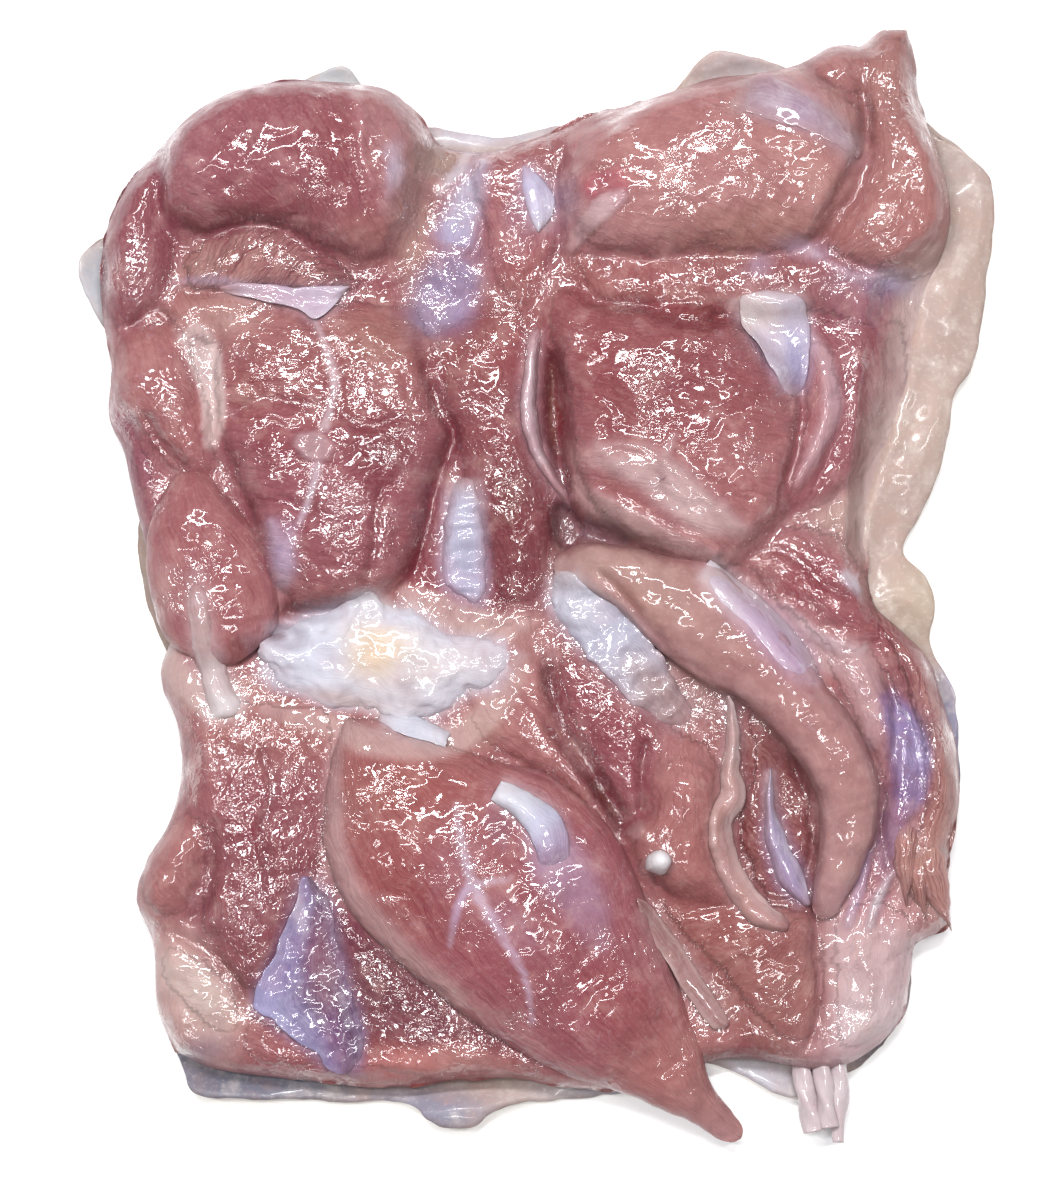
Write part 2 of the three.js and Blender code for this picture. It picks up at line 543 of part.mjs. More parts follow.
// A closed skin over rings of equal length, with one point closing each end.
function ringsClosed(first, rings, last) {
  const sides = rings[0].length;
  const places = [first, ...rings.flat(), last];
  const at = (i, k) => 1 + i * sides + (k % sides);
  const end = places.length - 1;
  const triangles = [];
  for (let k = 0; k < sides; k++) {
    triangles.push([0, at(0, k + 1), at(0, k)], [end, at(rings.length - 1, k), at(rings.length - 1, k + 1)]);
    for (let i = 0; i + 1 < rings.length; i++) {
      triangles.push([at(i, k), at(i, k + 1), at(i + 1, k + 1)], [at(i, k), at(i + 1, k + 1), at(i + 1, k)]);
    }
  }
  return geometryOf(places, triangles);
}

// A muscle: a section between its two edges, domed above the widest line and tucked in below it.
function muscleGeometry(muscle) {
  const [first, second, length] = edgesOf(muscle);
  const rows = Math.max(4, Math.ceil(length / ROW_LENGTH));
  const rings = Array.from({ length: rows + 1 }, (_, i) => {
    const t = i / rows;
    const inset = Math.min((Math.min(t, 1 - t) * length) / END_ROUND, 1);
    const fill = Math.sqrt(1 - (1 - inset) ** 2);
    const a = first(t);
    const b = second(t);
    const rim = along(muscle.rim, t);
    const crown = (along(muscle.top, t) - rim) * (0.06 + 0.94 * fill);
    const under = Math.min(UNDERCUT, rim - BASE - 0.4);
    const upper = Array.from({ length: CROWN_SIDES + 1 }, (_, k) => {
      const angle = (Math.PI * k) / CROWN_SIDES;
      const { x, y } = a.clone().lerp(b, 0.5 - 0.5 * Math.cos(angle));
      return [x, y, rim + crown * Math.sin(angle) ** FULLNESS];
    });
    const lower = [0.5 + 0.5 * TUCK, 0.5 - 0.5 * TUCK].map((share) => {
      const { x, y } = a.clone().lerp(b, share);
      return [x, y, rim - under];
    });
    return [...upper, ...lower];
  });
  const middle = (ring) => {
    const sum = ring.reduce((total, p) => total.map((v, i) => v + p[i]), [0, 0, 0]);
    return sum.map((v) => v / ring.length);
  };
  return facingOut(ringsClosed(middle(rings[0]), rings, middle(rings.at(-1))));
}

// A thin piece that follows the meat under it: a lens in section, from a gap above the meat to its thickness.
const LENS = [[0, 0.4], [0.22, 0.85], [0.5, 1], [0.78, 0.85], [1, 0.4], [0.78, 0], [0.5, 0], [0.22, 0]];
function stripGeometry(strip, topOf) {
  const [first, second, length] = edgesOf(strip);
  const rows = Math.max(4, Math.ceil(length / 3.2));
  const reach = [[0, 0], [DRAPE_REACH, 0], [-DRAPE_REACH, 0], [0, DRAPE_REACH], [0, -DRAPE_REACH]];
  const height = (x, y) => Math.max(...reach.map(([dx, dy]) => topOf(x + dx, y + dy))) + GAP + 0.1;
  const rings = Array.from({ length: rows + 1 }, (_, i) => {
    const t = i / rows;
    const fill = Math.sqrt(1 - (1 - Math.min(Math.min(t, 1 - t) * 5 + 0.1, 1)) ** 2);
    const thick = along(strip.thick, t) * fill;
    return LENS.map(([share, part]) => {
      const { x, y } = first(t).lerp(second(t), share);
      return [x, y, height(x, y) + part * thick + strip.lift * 4 * share * (1 - share)];
    });
  });
  const tip = (t) => {
    const { x, y } = first(t).lerp(second(t), 0.5);
    return [x, y, height(x, y) + strip.lift + 0.1];
  };
  return facingOut(ringsClosed(tip(0), rings, tip(1)));
}

// A round strand of tendon, level along its path.
function strandGeometry(strand) {
  const [first, second] = edgesOf(strand);
  const rings = Array.from({ length: 7 }, (_, i) => {
    const a = first(i / 6);
    const b = second(i / 6);
    const radius = a.distanceTo(b) / 2;
    return Array.from({ length: 8 }, (_, k) => {
      const angle = (2 * Math.PI * k) / 8;
      const { x, y } = a.clone().lerp(b, 0.5 - 0.5 * Math.cos(angle));
      return [x, y, strand.rise + radius * Math.sin(angle)];
    });
  });
  const tip = (t) => {
    const { x, y } = first(t).lerp(second(t), 0.5);
    return [x, y, strand.rise];
  };
  return facingOut(ringsClosed(tip(0), rings, tip(1)));
}

// The height of a solid's uppermost face at a place, or the bed's height beside it.
function topFinder(solid) {
  const body = new THREE.Mesh(geometryFrom(solid), new THREE.MeshBasicMaterial());
  const ray = new THREE.Raycaster();
  const down = new THREE.Vector3(0, 0, -1);
  return (x, y) => {
    ray.set(new THREE.Vector3(x, y, 100), down);
    const [hit] = ray.intersectObject(body);
    return hit ? hit.point.z : BED;
  };
}

// What is left of a solid clear of another by the gap, on each side and above it, or below it.
function clearOf(solid, other, above = GAP) {
  const shifts = [[0, 0, above], [0, GAP, 0], [0, -GAP, 0], [GAP, 0, 0], [-GAP, 0, 0]];
  return shifts.reduce((left, shift) => left.subtract(other.translate(shift)), solid);
}

function meatSolid() {
  const bed = sheetOver(meatPatch, BED_GRID, (x, y) => [BASE, bedTop(x, y)], true);
  return MUSCLES.reduce((joined, muscle) => joined.add(solidOf(muscleGeometry(muscle))), solidOf(bed));
}

// How far the skin's border has risen at a place this far outside the meat.
function curlHeight(x, y, out) {
  const near = CURLS.map(({ at, reach, high }) => {
    const share = Math.hypot(x - at[0], y - at[1]) / reach;
    return high * Math.exp(-share * share);
  });
  const rise = clamp(out / CURL_REACH, 0, 1);
  return Math.max(...near) * (1 - Math.cos(Math.PI * rise)) * 0.5;
}

function skinHeights(x, y) {
  const out = outside(meatLoop, x, y);
  const under = curlHeight(x, y, out);
  const fat = FAT * clamp((out - 1) / CURL_REACH, 0, 1) * clamp((x - 40) / 20, 0, 1);
  return [under, under + SKIN + fat];
}

// The skin's two faces meet in a thinner edge at its outline.
function skinGeometry() {
  const loop = loopOf(skinPatch, OUTLINE_STEPS);
  return sheetOver(skinPatch, SKIN_GRID, (x, y) => {
    const [under, top] = skinHeights(x, y);
    const share = clamp(-outside(loop, x, y) / 3, 0, 1);
    return [under, lerp(Math.min(under + 0.8, top), top, share)];
  }, false);
}

function meshOf(name, geometry, colour, roughness) {
  const material = new THREE.MeshStandardMaterial({ color: colour, roughness, metalness: 0 });
  const mesh = new THREE.Mesh(geometry, material);
  mesh.name = name;
  return mesh;
}

const thigh = new THREE.Group();
const meat = meatSolid();
const skin = clearOf(solidOf(skinGeometry()), meat, -GAP);
thigh.add(meshOf("skin", geometryFrom(skin), 0xd8c8b4, 0.5));
thigh.add(meshOf("meat", geometryFrom(meat), 0xb77772, 0.35));
const topOfMeat = topFinder(meat);
for (const strip of STRIPS) {
  const solid = clearOf(solidOf(stripGeometry(strip, topOfMeat)), meat);
  thigh.add(meshOf(strip.name, geometryFrom(solid), strip.colour, 0.3));
}
const strands = STRANDS.map((s) => solidOf(strandGeometry(s))).reduce((a, b) => a.add(b));
thigh.add(meshOf("shank_tendons", geometryFrom(clearOf(strands, meat)), 0xddd0cf, 0.35));

export default thigh;
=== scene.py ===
"""A raw boneless chicken thigh with its drumstick meat, laid open on its skin.

Lengths in the tables are millimetres, read from above: +X right, +Y towards the hip, +Z up from the table.
"""
import functools
import math

import bpy
import numpy as np
from bpy.props import FloatProperty, FloatVectorProperty, IntProperty, PointerProperty
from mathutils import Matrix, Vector


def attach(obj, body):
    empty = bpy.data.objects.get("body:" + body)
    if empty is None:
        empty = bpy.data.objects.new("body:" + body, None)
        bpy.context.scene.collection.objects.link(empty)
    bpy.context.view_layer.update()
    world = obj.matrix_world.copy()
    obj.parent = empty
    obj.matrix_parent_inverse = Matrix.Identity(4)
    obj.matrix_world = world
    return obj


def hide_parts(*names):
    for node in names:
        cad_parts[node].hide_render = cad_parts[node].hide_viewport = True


bl_info = {
    "name": "Boneless Chicken Thigh",
    "version": (1, 0, 0),
    "blender": (4, 5, 0),
    "location": "3D View > Sidebar > Chicken Thigh",
    "description": "Builds a raw boneless chicken thigh laid open on its skin",
    "category": "Object",
}

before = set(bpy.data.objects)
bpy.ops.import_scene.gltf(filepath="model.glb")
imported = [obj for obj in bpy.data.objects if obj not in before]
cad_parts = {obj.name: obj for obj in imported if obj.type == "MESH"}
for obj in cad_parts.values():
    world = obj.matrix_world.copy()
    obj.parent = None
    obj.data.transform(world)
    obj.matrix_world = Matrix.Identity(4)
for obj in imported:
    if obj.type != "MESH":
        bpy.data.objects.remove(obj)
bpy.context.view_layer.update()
MM = 0.001

BED = 10.2  # height of the meat that joins the muscles
MEAT_BASE = 2.1  # underside of the meat, just above the skin
EDGE_REACH, THIN_REACH = 5, 8  # how far in its outline is rounded, and how much farther where it thins out
PALE_BORDER, WALL = 9, 1.4  # width of its pale border there, and height of its wall all round
LOWEST = 4.8  # the flesh is nowhere lower than this, so that it stays over the skin
SKIN_THICK, SKIN_BORDER = 1.5, 0.7  # in the middle and at the free border
CROWN = 0.74  # how much of its height over the rim a muscle is given
TAPER = 7  # the last length of a muscle, over which it falls off
FILM, JUICE, STRIPE, RAISE_RIM = 0.08, 0.2, 0.3, 1.3  # of a muscle whose row doesn't give them
SIDE_PLACES = 90  # places along each side of an outline
CAMERA_AIM = (-0.0026, -0.0017, 0.009)  # metres
SENSOR = 36  # width of the camera's sensor, mm

# The painted red, green and blue are multiplied by a share and lessened by the film's shine, because the wet
# film lightens them again.
FLESH_SHARE, PALE_SHARE, SKIN_SHARE = (0.46, 0.325, 0.365), (0.54, 0.52, 0.53), (0.49, 0.47, 0.475)
FILM_SHINE = (0.012, 0.014, 0.008)

# The flesh is worked out once on a raster of square cells from LOW, so many cells by so many.
LOW, CELL, CELLS = np.array([-92.0, -108.0]), 0.4, (541, 461)
OWN_STEP, RINGS = 0.25, 10  # spacing of a muscle's own places, and how many cells it is carried outwards

# The outlines of the joined meat and of the skin, each as four sides that share their corners.
FLESH_SIDES = {
    "bottom": [(-65, -84), (-59, -87), (-50, -88.5), (-38, -89.5), (-26, -90.5), (-16, -89.5), (-5, -89),
        (6, -90.5), (16, -91), (25, -88.5), (33, -85.5), (42, -86), (49, -87.5), (56, -86.5), (62, -83)],
    "right": [(62, -83), (66, -78), (67.6, -71), (68.4, -65), (74.4, -61.4), (74.2, -54), (74.8, -47),
        (76.4, -39), (76.2, -30), (73.6, -21), (70.8, -13), (66, -8), (61, -3), (60, 6), (62, 17), (66, 28),
        (69, 39), (70.5, 48), (71.5, 54.5), (74.6, 62), (75.2, 70), (73, 79), (70, 87), (68.8, 95),
        (67.6, 101.2)],
    "top": [(-68, 80), (-62, 86), (-54, 90), (-45, 91.6), (-34, 91.4), (-26.5, 90), (-21, 85), (-17, 80),
        (-8, 79), (2, 82), (10, 85.6), (19, 88), (30, 91.4), (42, 93.5), (48, 95), (54, 98.3), (59, 98.2),
        (63, 101), (67.6, 101.2)],
    "left": [(-65, -84), (-68.4, -76), (-69, -65), (-72, -57), (-70.4, -50), (-66, -42), (-64, -33),
        (-65, -25), (-68, -16), (-66, -8), (-70, 4), (-73, 16), (-75, 25), (-77.6, 31), (-77, 40),
        (-78.8, 52), (-78, 64), (-74, 73), (-68, 80)],
}

SKIN_SIDES = {
    "bottom": [(-64, -87.5), (-61.5, -91.8), (-54, -92.8), (-44, -92.8), (-33, -93.4), (-23, -93.4),
        (-19.5, -96.4), (-16, -98), (-11, -97.8), (-7.5, -95), (0, -93.2), (10, -92.4), (19, -91.6),
        (28, -86.5), (36, -88), (45, -92.4), (50, -90.5), (57, -88), (63, -83.5)],
    "right": [(63, -83.5), (67.6, -76), (67.8, -66), (68.6, -58), (72.6, -48), (76.6, -38), (76.6, -27),
        (75.4, -18), (71.6, -10.5), (72.4, -4), (70.6, 1.5), (66.8, 6), (69.4, 12), (72.6, 19), (75, 28),
        (76.4, 35), (79.4, 40), (81.4, 50), (82.6, 62), (82.8, 74), (77, 79.6), (72, 82.5)],
    "top": [(-65, 76), (-58, 84), (-48, 90), (-41, 93.2), (-35, 94.6), (-31.5, 91.4), (-24, 85), (-17, 83.6),
        (-7, 82), (3, 84), (14, 85), (25, 90), (31.5, 96.8), (40, 96.4), (47, 94.4), (57, 92), (65, 89),
        (72, 82.5)],
    "left": [(-64, -87.5), (-67, -80), (-66.4, -68), (-66, -55), (-62, -42), (-62, -28), (-66.4, -14),
        (-70.6, -3), (-72.2, 9), (-71, 22), (-73.5, 34), (-76.5, 44), (-80.4, 49), (-83, 58.8), (-77, 65),
        (-65, 76)],
}

# Each muscle lies between its edges a and b. rim is the height of its widest line, top that of its crown,
# tones its colours from the first end to the last, pale its whiter edges (a side, b side), soft the exponent
# of its fall towards each edge, turn the angle of its fibres to its own direction, proud a free-standing one.
# raise_rim lifts the rim; film is how much fascia, juice how much wet and stripe how much fibre it shows.
MUSCLES = [
    dict(name="hip_dome", rim=(9, 9), top=(15.5, 20.5, 22, 19, 14), soft=(0.75, 1.05), turn=70, juice=0.4,
         raise_rim=3.2, tones="a86f72 a76a70 a3666b ab7270 c09a90", pale=(0.1, 0.15),
         a=[(-66, 67), (-67, 76), (-63, 84), (-55, 90), (-42, 92), (-30, 90.6), (-22.5, 85.5), (-18.6, 80.5)],
         b=[(-64.6, 65), (-59, 63.4), (-53, 64.6), (-45, 63.6), (-37.5, 60.2), (-30, 59.2), (-25.2, 63),
         (-20, 77)]),
    dict(name="flank_strip", juice=0.5, rim=(7, 7), top=(11, 14.5, 14.5, 11), soft=(0.8, 1.6), turn=8,
         tones="a4686c 9c5c64 985860 a0646a", pale=(0.15, 0.2),
         a=[(-68.5, 80.5), (-75, 73), (-78.6, 64), (-79, 54), (-77.4, 45)],
         b=[(-65.5, 78), (-66, 70), (-65.4, 63), (-65.6, 57), (-68, 51), (-73, 46)]),
    dict(name="web", rim=(9, 9), top=(11.5, 12, 11.5), soft=(2, 2), turn=80, tones="b98a7e c7a291 c49a8b",
         pale=(0.2, 0.2),
         a=[(-68, 51), (-62, 54), (-54, 53.6), (-44, 53)],
         b=[(-64, 44), (-58, 43.6), (-50, 46), (-42, 47.6)]),
    dict(name="ribbed_wedge", stripe=1, juice=0.5, rim=(9, 9), top=(12, 14.5, 12.5), soft=(1.1, 0.8),
         turn=-35, tones="aa766c 985a60 a06266", pale=(0.1, 0.3),
         a=[(-64, 58), (-58, 62.6), (-50, 64.8), (-43, 62), (-37, 57.6), (-32.6, 54.4)],
         b=[(-62.4, 52.6), (-55, 53), (-48, 52.8), (-40, 52.4), (-33, 53)]),
    dict(name="flank_edge", rim=(6, 6), top=(9.5, 10.5, 9), soft=(0.8, 1.6), turn=0,
         tones="a4707a 9d6672 a06b74", pale=(0.2, 0),
         a=[(-77, 34), (-76, 26), (-73.4, 17), (-71, 8)],
         b=[(-72, 34), (-70, 26), (-67.4, 18), (-67.4, 8)]),
    dict(name="flank_belly", juice=0.3, rim=(7, 8), top=(12, 15.5, 13), soft=(1, 0.9), turn=6,
         tones="bb8a80 b5807a b27571", pale=(0.25, 0.25),
         a=[(-76, 46), (-77.4, 38), (-74.6, 32), (-69.6, 25), (-64, 19)],
         b=[(-66, 49), (-62, 42), (-60, 35), (-58, 27), (-58.4, 19)]),
    dict(name="inner_thigh", rim=(9, 9), top=(12.5, 14.5, 16.8, 17.4, 14.5), soft=(0.9, 0.9), turn=84,
         juice=0.8, raise_rim=2.6, tones="b4827a aa6e6a a4626a 9f5f66 b07672", pale=(0.1, 0.1),
         a=[(-55, 49.4), (-57, 40), (-56, 29), (-53, 18), (-49.4, 8), (-47.4, 1), (-43, -4.4)],
         b=[(-23, 49), (-19.6, 41), (-18.6, 33), (-16.4, 27), (-19.6, 18), (-21.4, 8), (-24, 1), (-31, -4)]),
    dict(name="shank_column", rim=(8, 8), top=(13, 16, 16.5, 14), proud=True, soft=(1, 0.8), turn=10,
         tones="b47b76 b07572 ae7370 b88480", pale=(0.15, 0.2),
         a=[(-64.6, 21), (-68.4, 14), (-70, 6), (-69.4, -2), (-67, -9), (-61, -15)],
         b=[(-60, 21), (-54, 14), (-49, 7), (-46.6, 0), (-46.8, -8), (-52, -14.6)]),
    dict(name="middle_strap", juice=0.6, raise_rim=1.8, rim=(8, 8), top=(11.5, 13.5, 13, 10.5),
         soft=(1.5, 1.2), turn=14, tones="a2645c 925252 8a4446 802e3a", pale=(0.1, 0.1),
         a=[(-19.6, 45), (-17, 34), (-15, 26), (-13.6, 18), (-9.6, 10), (-8.4, 2), (-7, -5)],
         b=[(-3, 49), (-1, 40), (-1.6, 32), (-0.4, 24), (1.6, 16), (2.6, 9), (0.6, -3)]),
    dict(name="groove_mound", juice=0.6, rim=(8, 8), top=(10.5, 12.5, 11), soft=(1.6, 1.6), turn=10,
         tones="b8867f b57c7a b4827a", pale=(0.2, 0.1),
         a=[(-10, 81), (-12.4, 72), (-10, 64), (-8, 56), (-4, 49)],
         b=[(5, 83), (3.6, 74), (3.6, 66), (3, 58), (1, 50)]),
    dict(name="outer_thigh", rim=(9, 9), top=(13.5, 18.5, 20, 18, 14), soft=(0.9, 1), raise_rim=4, turn=25,
         tones="d0aca6 c69e94 c69e94 cca698 d4b2a6", pale=(0.15, 0.1),
         a=[(5, 68), (8, 78), (14, 83), (22, 88), (32, 92), (42, 93.4), (50, 90.4), (56.4, 84), (58.6, 77)],
         b=[(6, 64), (12, 60.6), (20, 59.4), (30, 60), (40, 59.4), (48, 61.6), (54, 67), (57.4, 74)]),
    dict(name="hip_knuckle", rim=(8, 8), top=(10.5, 13, 12), soft=(0.9, 1.4), turn=50,
         tones="bb938a bd9388 bb9086", pale=(0.2, 0.1),
         a=[(47, 93.6), (51, 97.6), (55, 98.6), (59.6, 97.6)],
         b=[(46.6, 90.6), (50, 86), (55, 84), (60, 88)]),
    dict(name="hip_corner", rim=(6, 8), top=(8.5, 12, 17, 17.5, 14), soft=(0.9, 1.1), raise_rim=2.6,
         juice=0.7, turn=4, tones="c09c8c c09888 bd9284 be9082 ba8c80", pale=(0.1, 0.15),
         a=[(63, 101), (59.6, 96.6), (58.4, 90), (60, 82), (58, 75), (55, 67), (51, 60)],
         b=[(68, 100.8), (68.6, 95), (69.6, 88), (72.6, 80), (75.4, 71), (75.6, 62), (70, 56.4), (60, 55.6)]),
    dict(name="thigh_band", juice=0.5, rim=(9, 9), top=(12, 13, 13.5, 12), soft=(1.4, 1.3), raise_rim=2.2,
         turn=70, tones="b47c72 aa6e66 a8706c b28690", pale=(0.1, 0.1),
         a=[(7, 58.6), (20, 59), (32, 60), (44, 60), (52, 60), (62, 56)],
         b=[(11, 49), (22, 48.4), (33, 48), (44, 48.6), (52, 48.6), (60, 46)]),
    dict(name="thigh_plate", juice=0.3, raise_rim=2, rim=(8, 8), top=(11, 12.5, 11), soft=(1.6, 1.6), turn=20,
         tones="a86e72 a66a70 ab7474", pale=(0.1, 0.3),
         a=[(47.6, 46), (51, 36), (52, 28), (50, 20), (46, 12)],
         b=[(66, 47), (66.6, 38), (64.6, 29), (60, 21), (53, 14)]),
    dict(name="thigh_pillow", juice=0.3, raise_rim=2.6, rim=(9, 8.5), top=(14, 18.5, 19.5, 16.5),
         soft=(0.85, 0.9), turn=55, tones="a66460 9c5858 b07470 d2a69c", pale=(0.1, 0.2),
         a=[(3, 51), (4, 42), (6, 34), (7, 26), (8, 19), (12, 12.6), (18, 8.4), (27, 4)],
         b=[(22, 50), (34, 47.4), (41, 42), (46, 36), (47.4, 28), (46, 19), (43, 11.6), (36, 4)]),
    dict(name="thigh_ridge", rim=(10, 10), top=(12, 14, 13.5, 12), soft=(1.2, 1.2), turn=0,
         tones="bb8480 bd8784 b67b78", pale=(0.3, 0.3),
         a=[(48, 42), (48.6, 34), (47.4, 25), (44.4, 14)],
         b=[(52, 42), (54.6, 33), (52.4, 24), (48.4, 14.6)]),
    dict(name="fat_corner", rim=(6, 6), top=(9.5, 10, 9), soft=(1.4, 1.4), turn=30, film=0.8,
         tones="ccb6a8 cfbcaa d2c0ac", pale=(0.2, 0.2),
         a=[(46, 16), (55, 19), (61, 15), (64, 8), (67, 3)],
         b=[(44, 9), (52, 8), (57, 5), (60, -2)]),
    dict(name="hock_knuckle", juice=0.8, rim=(9, 9), top=(12, 14, 12.5), soft=(1.1, 1.4), turn=20,
         tones="bd8a80 ab6468 b37270", pale=(0.2, 0.1),
         a=[(37, 6), (44, 9.4), (50, 8.4), (56, 5), (60.6, -2)],
         b=[(40, 0), (45, -5), (50, -9.4), (56, -12.6), (62, -10)]),
    dict(name="outer_shin_web", rim=(8, 8), top=(12.6, 13, 12, 10.5), soft=(1.6, 1.6), turn=10,
         tones="cfa69c c9a19a b58a92 b98a84", pale=(0.1, 0.1),
         a=[(56, -10), (62, -14), (66, -22), (70, -31), (70.6, -39), (68, -48), (65, -56)],
         b=[(51, -14), (56, -22), (60, -31), (61.4, -40), (60, -48), (56, -57)]),
    dict(name="outer_shin_edge", stripe=1, rim=(6, 7), top=(11, 14, 14.5, 13.5, 12, 9), soft=(1.1, 0.8),
         juice=0.4, tones="a05c5c a46264 aa6c6a ba8878 c49684 cca494", pale=(0, 0.1), turn=2,
         a=[(57, 1.4), (60, -6), (64, -13), (67, -21), (69, -30), (69, -38), (66, -46), (64, -53), (67, -61)],
         b=[(62, 1), (68, -6), (72, -13), (75, -22), (76.6, -32), (76.6, -42), (74.6, -50), (74, -56),
         (75, -61)]),
    dict(name="calf_hollow", stripe=0.5, rim=(8, 8), top=(9.5, 10, 10.5, 11), soft=(1.6, 1.6), turn=40,
         tones="905850 884640 8c443e 98584e", pale=(0.1, 0.1),
         a=[(33, -19), (35.6, -30), (35, -40), (36, -50), (40, -58), (45, -63)],
         b=[(43, -25), (48.6, -33), (51.4, -41), (51, -50), (50, -60)]),
    dict(name="calf_heart", juice=1, rim=(8, 8), top=(11.5, 13, 12.5), soft=(1.2, 1.2), turn=30,
         tones="b07a74 a55c62 9f565e a8646a", pale=(0.1, 0.2),
         a=[(2.6, -10), (4.6, -20), (8, -29), (13, -37), (17, -43)],
         b=[(12, -12), (19, -19), (25, -27), (23.4, -34), (21, -42)]),
    dict(name="calf_lobe", rim=(8.5, 8.5), top=(14, 17.5, 16.5, 13), soft=(0.8, 1), turn=8,
         tones="cca498 c08c80 ba8276 b2766c", pale=(0.25, 0.1),
         a=[(23, -26.4), (20.4, -34), (20.6, -41), (16.6, -46), (20, -53), (27, -57.6)],
         b=[(30, -28.6), (33, -36), (33, -43), (33, -50), (37, -57)]),
    dict(name="ankle_fan", stripe=0.35, rim=(8, 8), top=(12.5, 13, 12.5, 11.5), soft=(1.6, 1.6), turn=0,
         tones="b88478 ae7468 aa7266 b08072", pale=(0.1, 0.2),
         a=[(46.6, -58.6), (38, -56.6), (28, -55.4), (18, -54)],
         b=[(49.4, -60.6), (51.4, -70), (51.6, -78), (48, -87)]),
    dict(name="ankle_fat", rim=(6.5, 6.5), top=(11, 12, 11, 9.5), soft=(1.4, 1.1), turn=0, film=0.7,
         tones="dcaeaa f0dcd8 f4e6e2 f0e2de", pale=(0.2, 0.1),
         a=[(51, -56), (50.6, -66), (51, -76), (49, -87)],
         b=[(66.6, -55), (68.4, -64), (67.6, -72), (65.4, -79), (58, -86.6)]),
    dict(name="knee_web", juice=0.3, rim=(9, 9), top=(11.5, 12.5, 13), soft=(1.4, 1), turn=4,
         tones="d8baac c4948a b87c74 ac6c66", pale=(0.1, 0.2),
         a=[(-13, -12), (-12, -22), (-9, -29), (-3, -32), (4, -35), (11, -41), (16, -48)],
         b=[(-1, -6), (1, -15), (4, -24), (8, -31), (13, -39), (18, -47)]),
    dict(name="rough_shank", juice=1, rim=(8, 8), top=(12, 13.5, 13.5, 12), soft=(1.2, 1), turn=8,
         tones="b98678 a25c62 98525a 965058", pale=(0.35, 0.05),
         a=[(-62, -21), (-64.6, -32), (-63, -42), (-60, -52), (-60, -62), (-54, -72)],
         b=[(-37, -22), (-37, -34), (-38.4, -44), (-40, -54), (-44, -62), (-47, -74)]),
    dict(name="flank_lobe", rim=(6.5, 6.5), top=(11.5, 13.5, 12), soft=(0.85, 1), turn=20,
         tones="b58176 b98a80 b27a74", pale=(0.15, 0.2),
         a=[(-62, -40), (-68.4, -46), (-72.2, -53), (-70.4, -58.6), (-65, -60.4)],
         b=[(-59.6, -41), (-58.4, -47), (-59.4, -53), (-62, -59)]),
    dict(name="shank_fat", rim=(5.5, 5.5), top=(10, 11.5, 10.5), soft=(1, 1.2), turn=20, film=0.7,
         tones="e0ccbc e6d8c6 e0d2bc", pale=(0.1, 0.1),
         a=[(-69, -62), (-69.2, -70), (-65, -77.6), (-58, -83.6), (-52.6, -81)],
         b=[(-66.6, -61.4), (-61, -65.6), (-55, -70), (-52, -75), (-51.4, -79)]),
    dict(name="shank_foot", juice=0.8, rim=(8, 8), top=(12, 12, 11.5, 10), soft=(1.2, 1.4), turn=20,
         tones="7c3a46 7a3844 803e4a bd7468", pale=(0, 0.1),
         a=[(-38, -54), (-37, -66), (-37, -78), (-38, -89)],
         b=[(-34, -57), (-24, -67), (-12, -77), (2, -86), (9, -90.6)]),
    dict(name="shank_sole", juice=0.7, rim=(7, 7), top=(10, 10.5, 10), soft=(1.4, 1.4), turn=10,
         tones="b97d76 ae6e6c b87670", pale=(0.1, 0.3),
         a=[(-52, -72), (-45, -77), (-36, -80)],
         b=[(-60, -85), (-49, -88.6), (-36, -90)]),
    dict(name="big_calf", juice=0.3, rim=(9, 9, 9, 8, 6, 4.5), top=(13, 18.5, 21.5, 22, 19, 13, 6),
         proud=True, soft=(0.8, 0.8), turn=-4, tones="bb8074 b07468 ac6a66 a86266 a8646a c48e82 e6c6ba",
         pale=(0.4, 0.1),
         a=[(-34.6, -24.4), (-36.6, -31), (-38, -40), (-37.6, -49), (-33.6, -58), (-27, -65.4), (-18, -73.4),
         (-8, -80.6), (4, -87.6), (16, -91.4), (26, -95.8), (35.6, -101)],
         b=[(-33, -23.6), (-26, -25), (-16, -29), (-6, -32), (2, -34), (9, -39), (15, -46), (19, -55),
         (22.6, -64), (26.6, -73), (29.6, -82), (31.6, -90), (38, -98)]),
    dict(name="shin_arch", rim=(10, 10.5, 10.5, 9.5), top=(12.5, 17.5, 19.5, 20.5, 19.5, 17, 13), proud=True,
         soft=(0.9, 0.75), turn=3, stripe=0.08, juice=-0.4, film=0.35,
         tones="c4b09c bfa490 bb9686 bb9084 bb9084 c29e90 ceb2a4", pale=(0.2, 0.45),
         a=[(3, 5.6), (9, 7.6), (16, 7), (24, 5), (31, 4), (37, -1), (44, -8), (51, -17), (57, -25),
         (61, -34), (61, -44), (58, -52), (53, -60)],
         b=[(3.4, 1), (9, -1), (15, -5), (21, -11), (29, -17), (36, -20.6), (42, -26), (47, -32), (50.4, -39),
         (50.6, -47), (49.4, -54), (49.4, -60)]),
]

# Pits between the muscles: place, radii, angle and depth.
HOLLOWS = [
    (-17, 77, 5, 3.6, 0, 2.2), (-17, 66, 6, 5, 20, 1.8), (-18, 51, 8, 6, 10, 2), (5.8, 10, 3.4, 4.6, 0, 2.6),
    (12, 8.5, 5, 2.4, -15, 2.6), (12, 71.5, 4, 3, 0, 1.2), (-44.5, -9.4, 3.4, 1.8, -20, 2.6),
    (-12, 2, 3, 6, 0, 1.5), (4, 30, 1.4, 9, 4, 2.5), (9, -33, 1.6, 12, 38, 1.2), (-54, -11, 4, 3, 0, 2),
    (45, -40, 3.6, 10, 8, 2.2), (-7, -43, 2.4, 3, 0, 1.4), (8.5, -56, 1.2, 3, 15, 1),
]

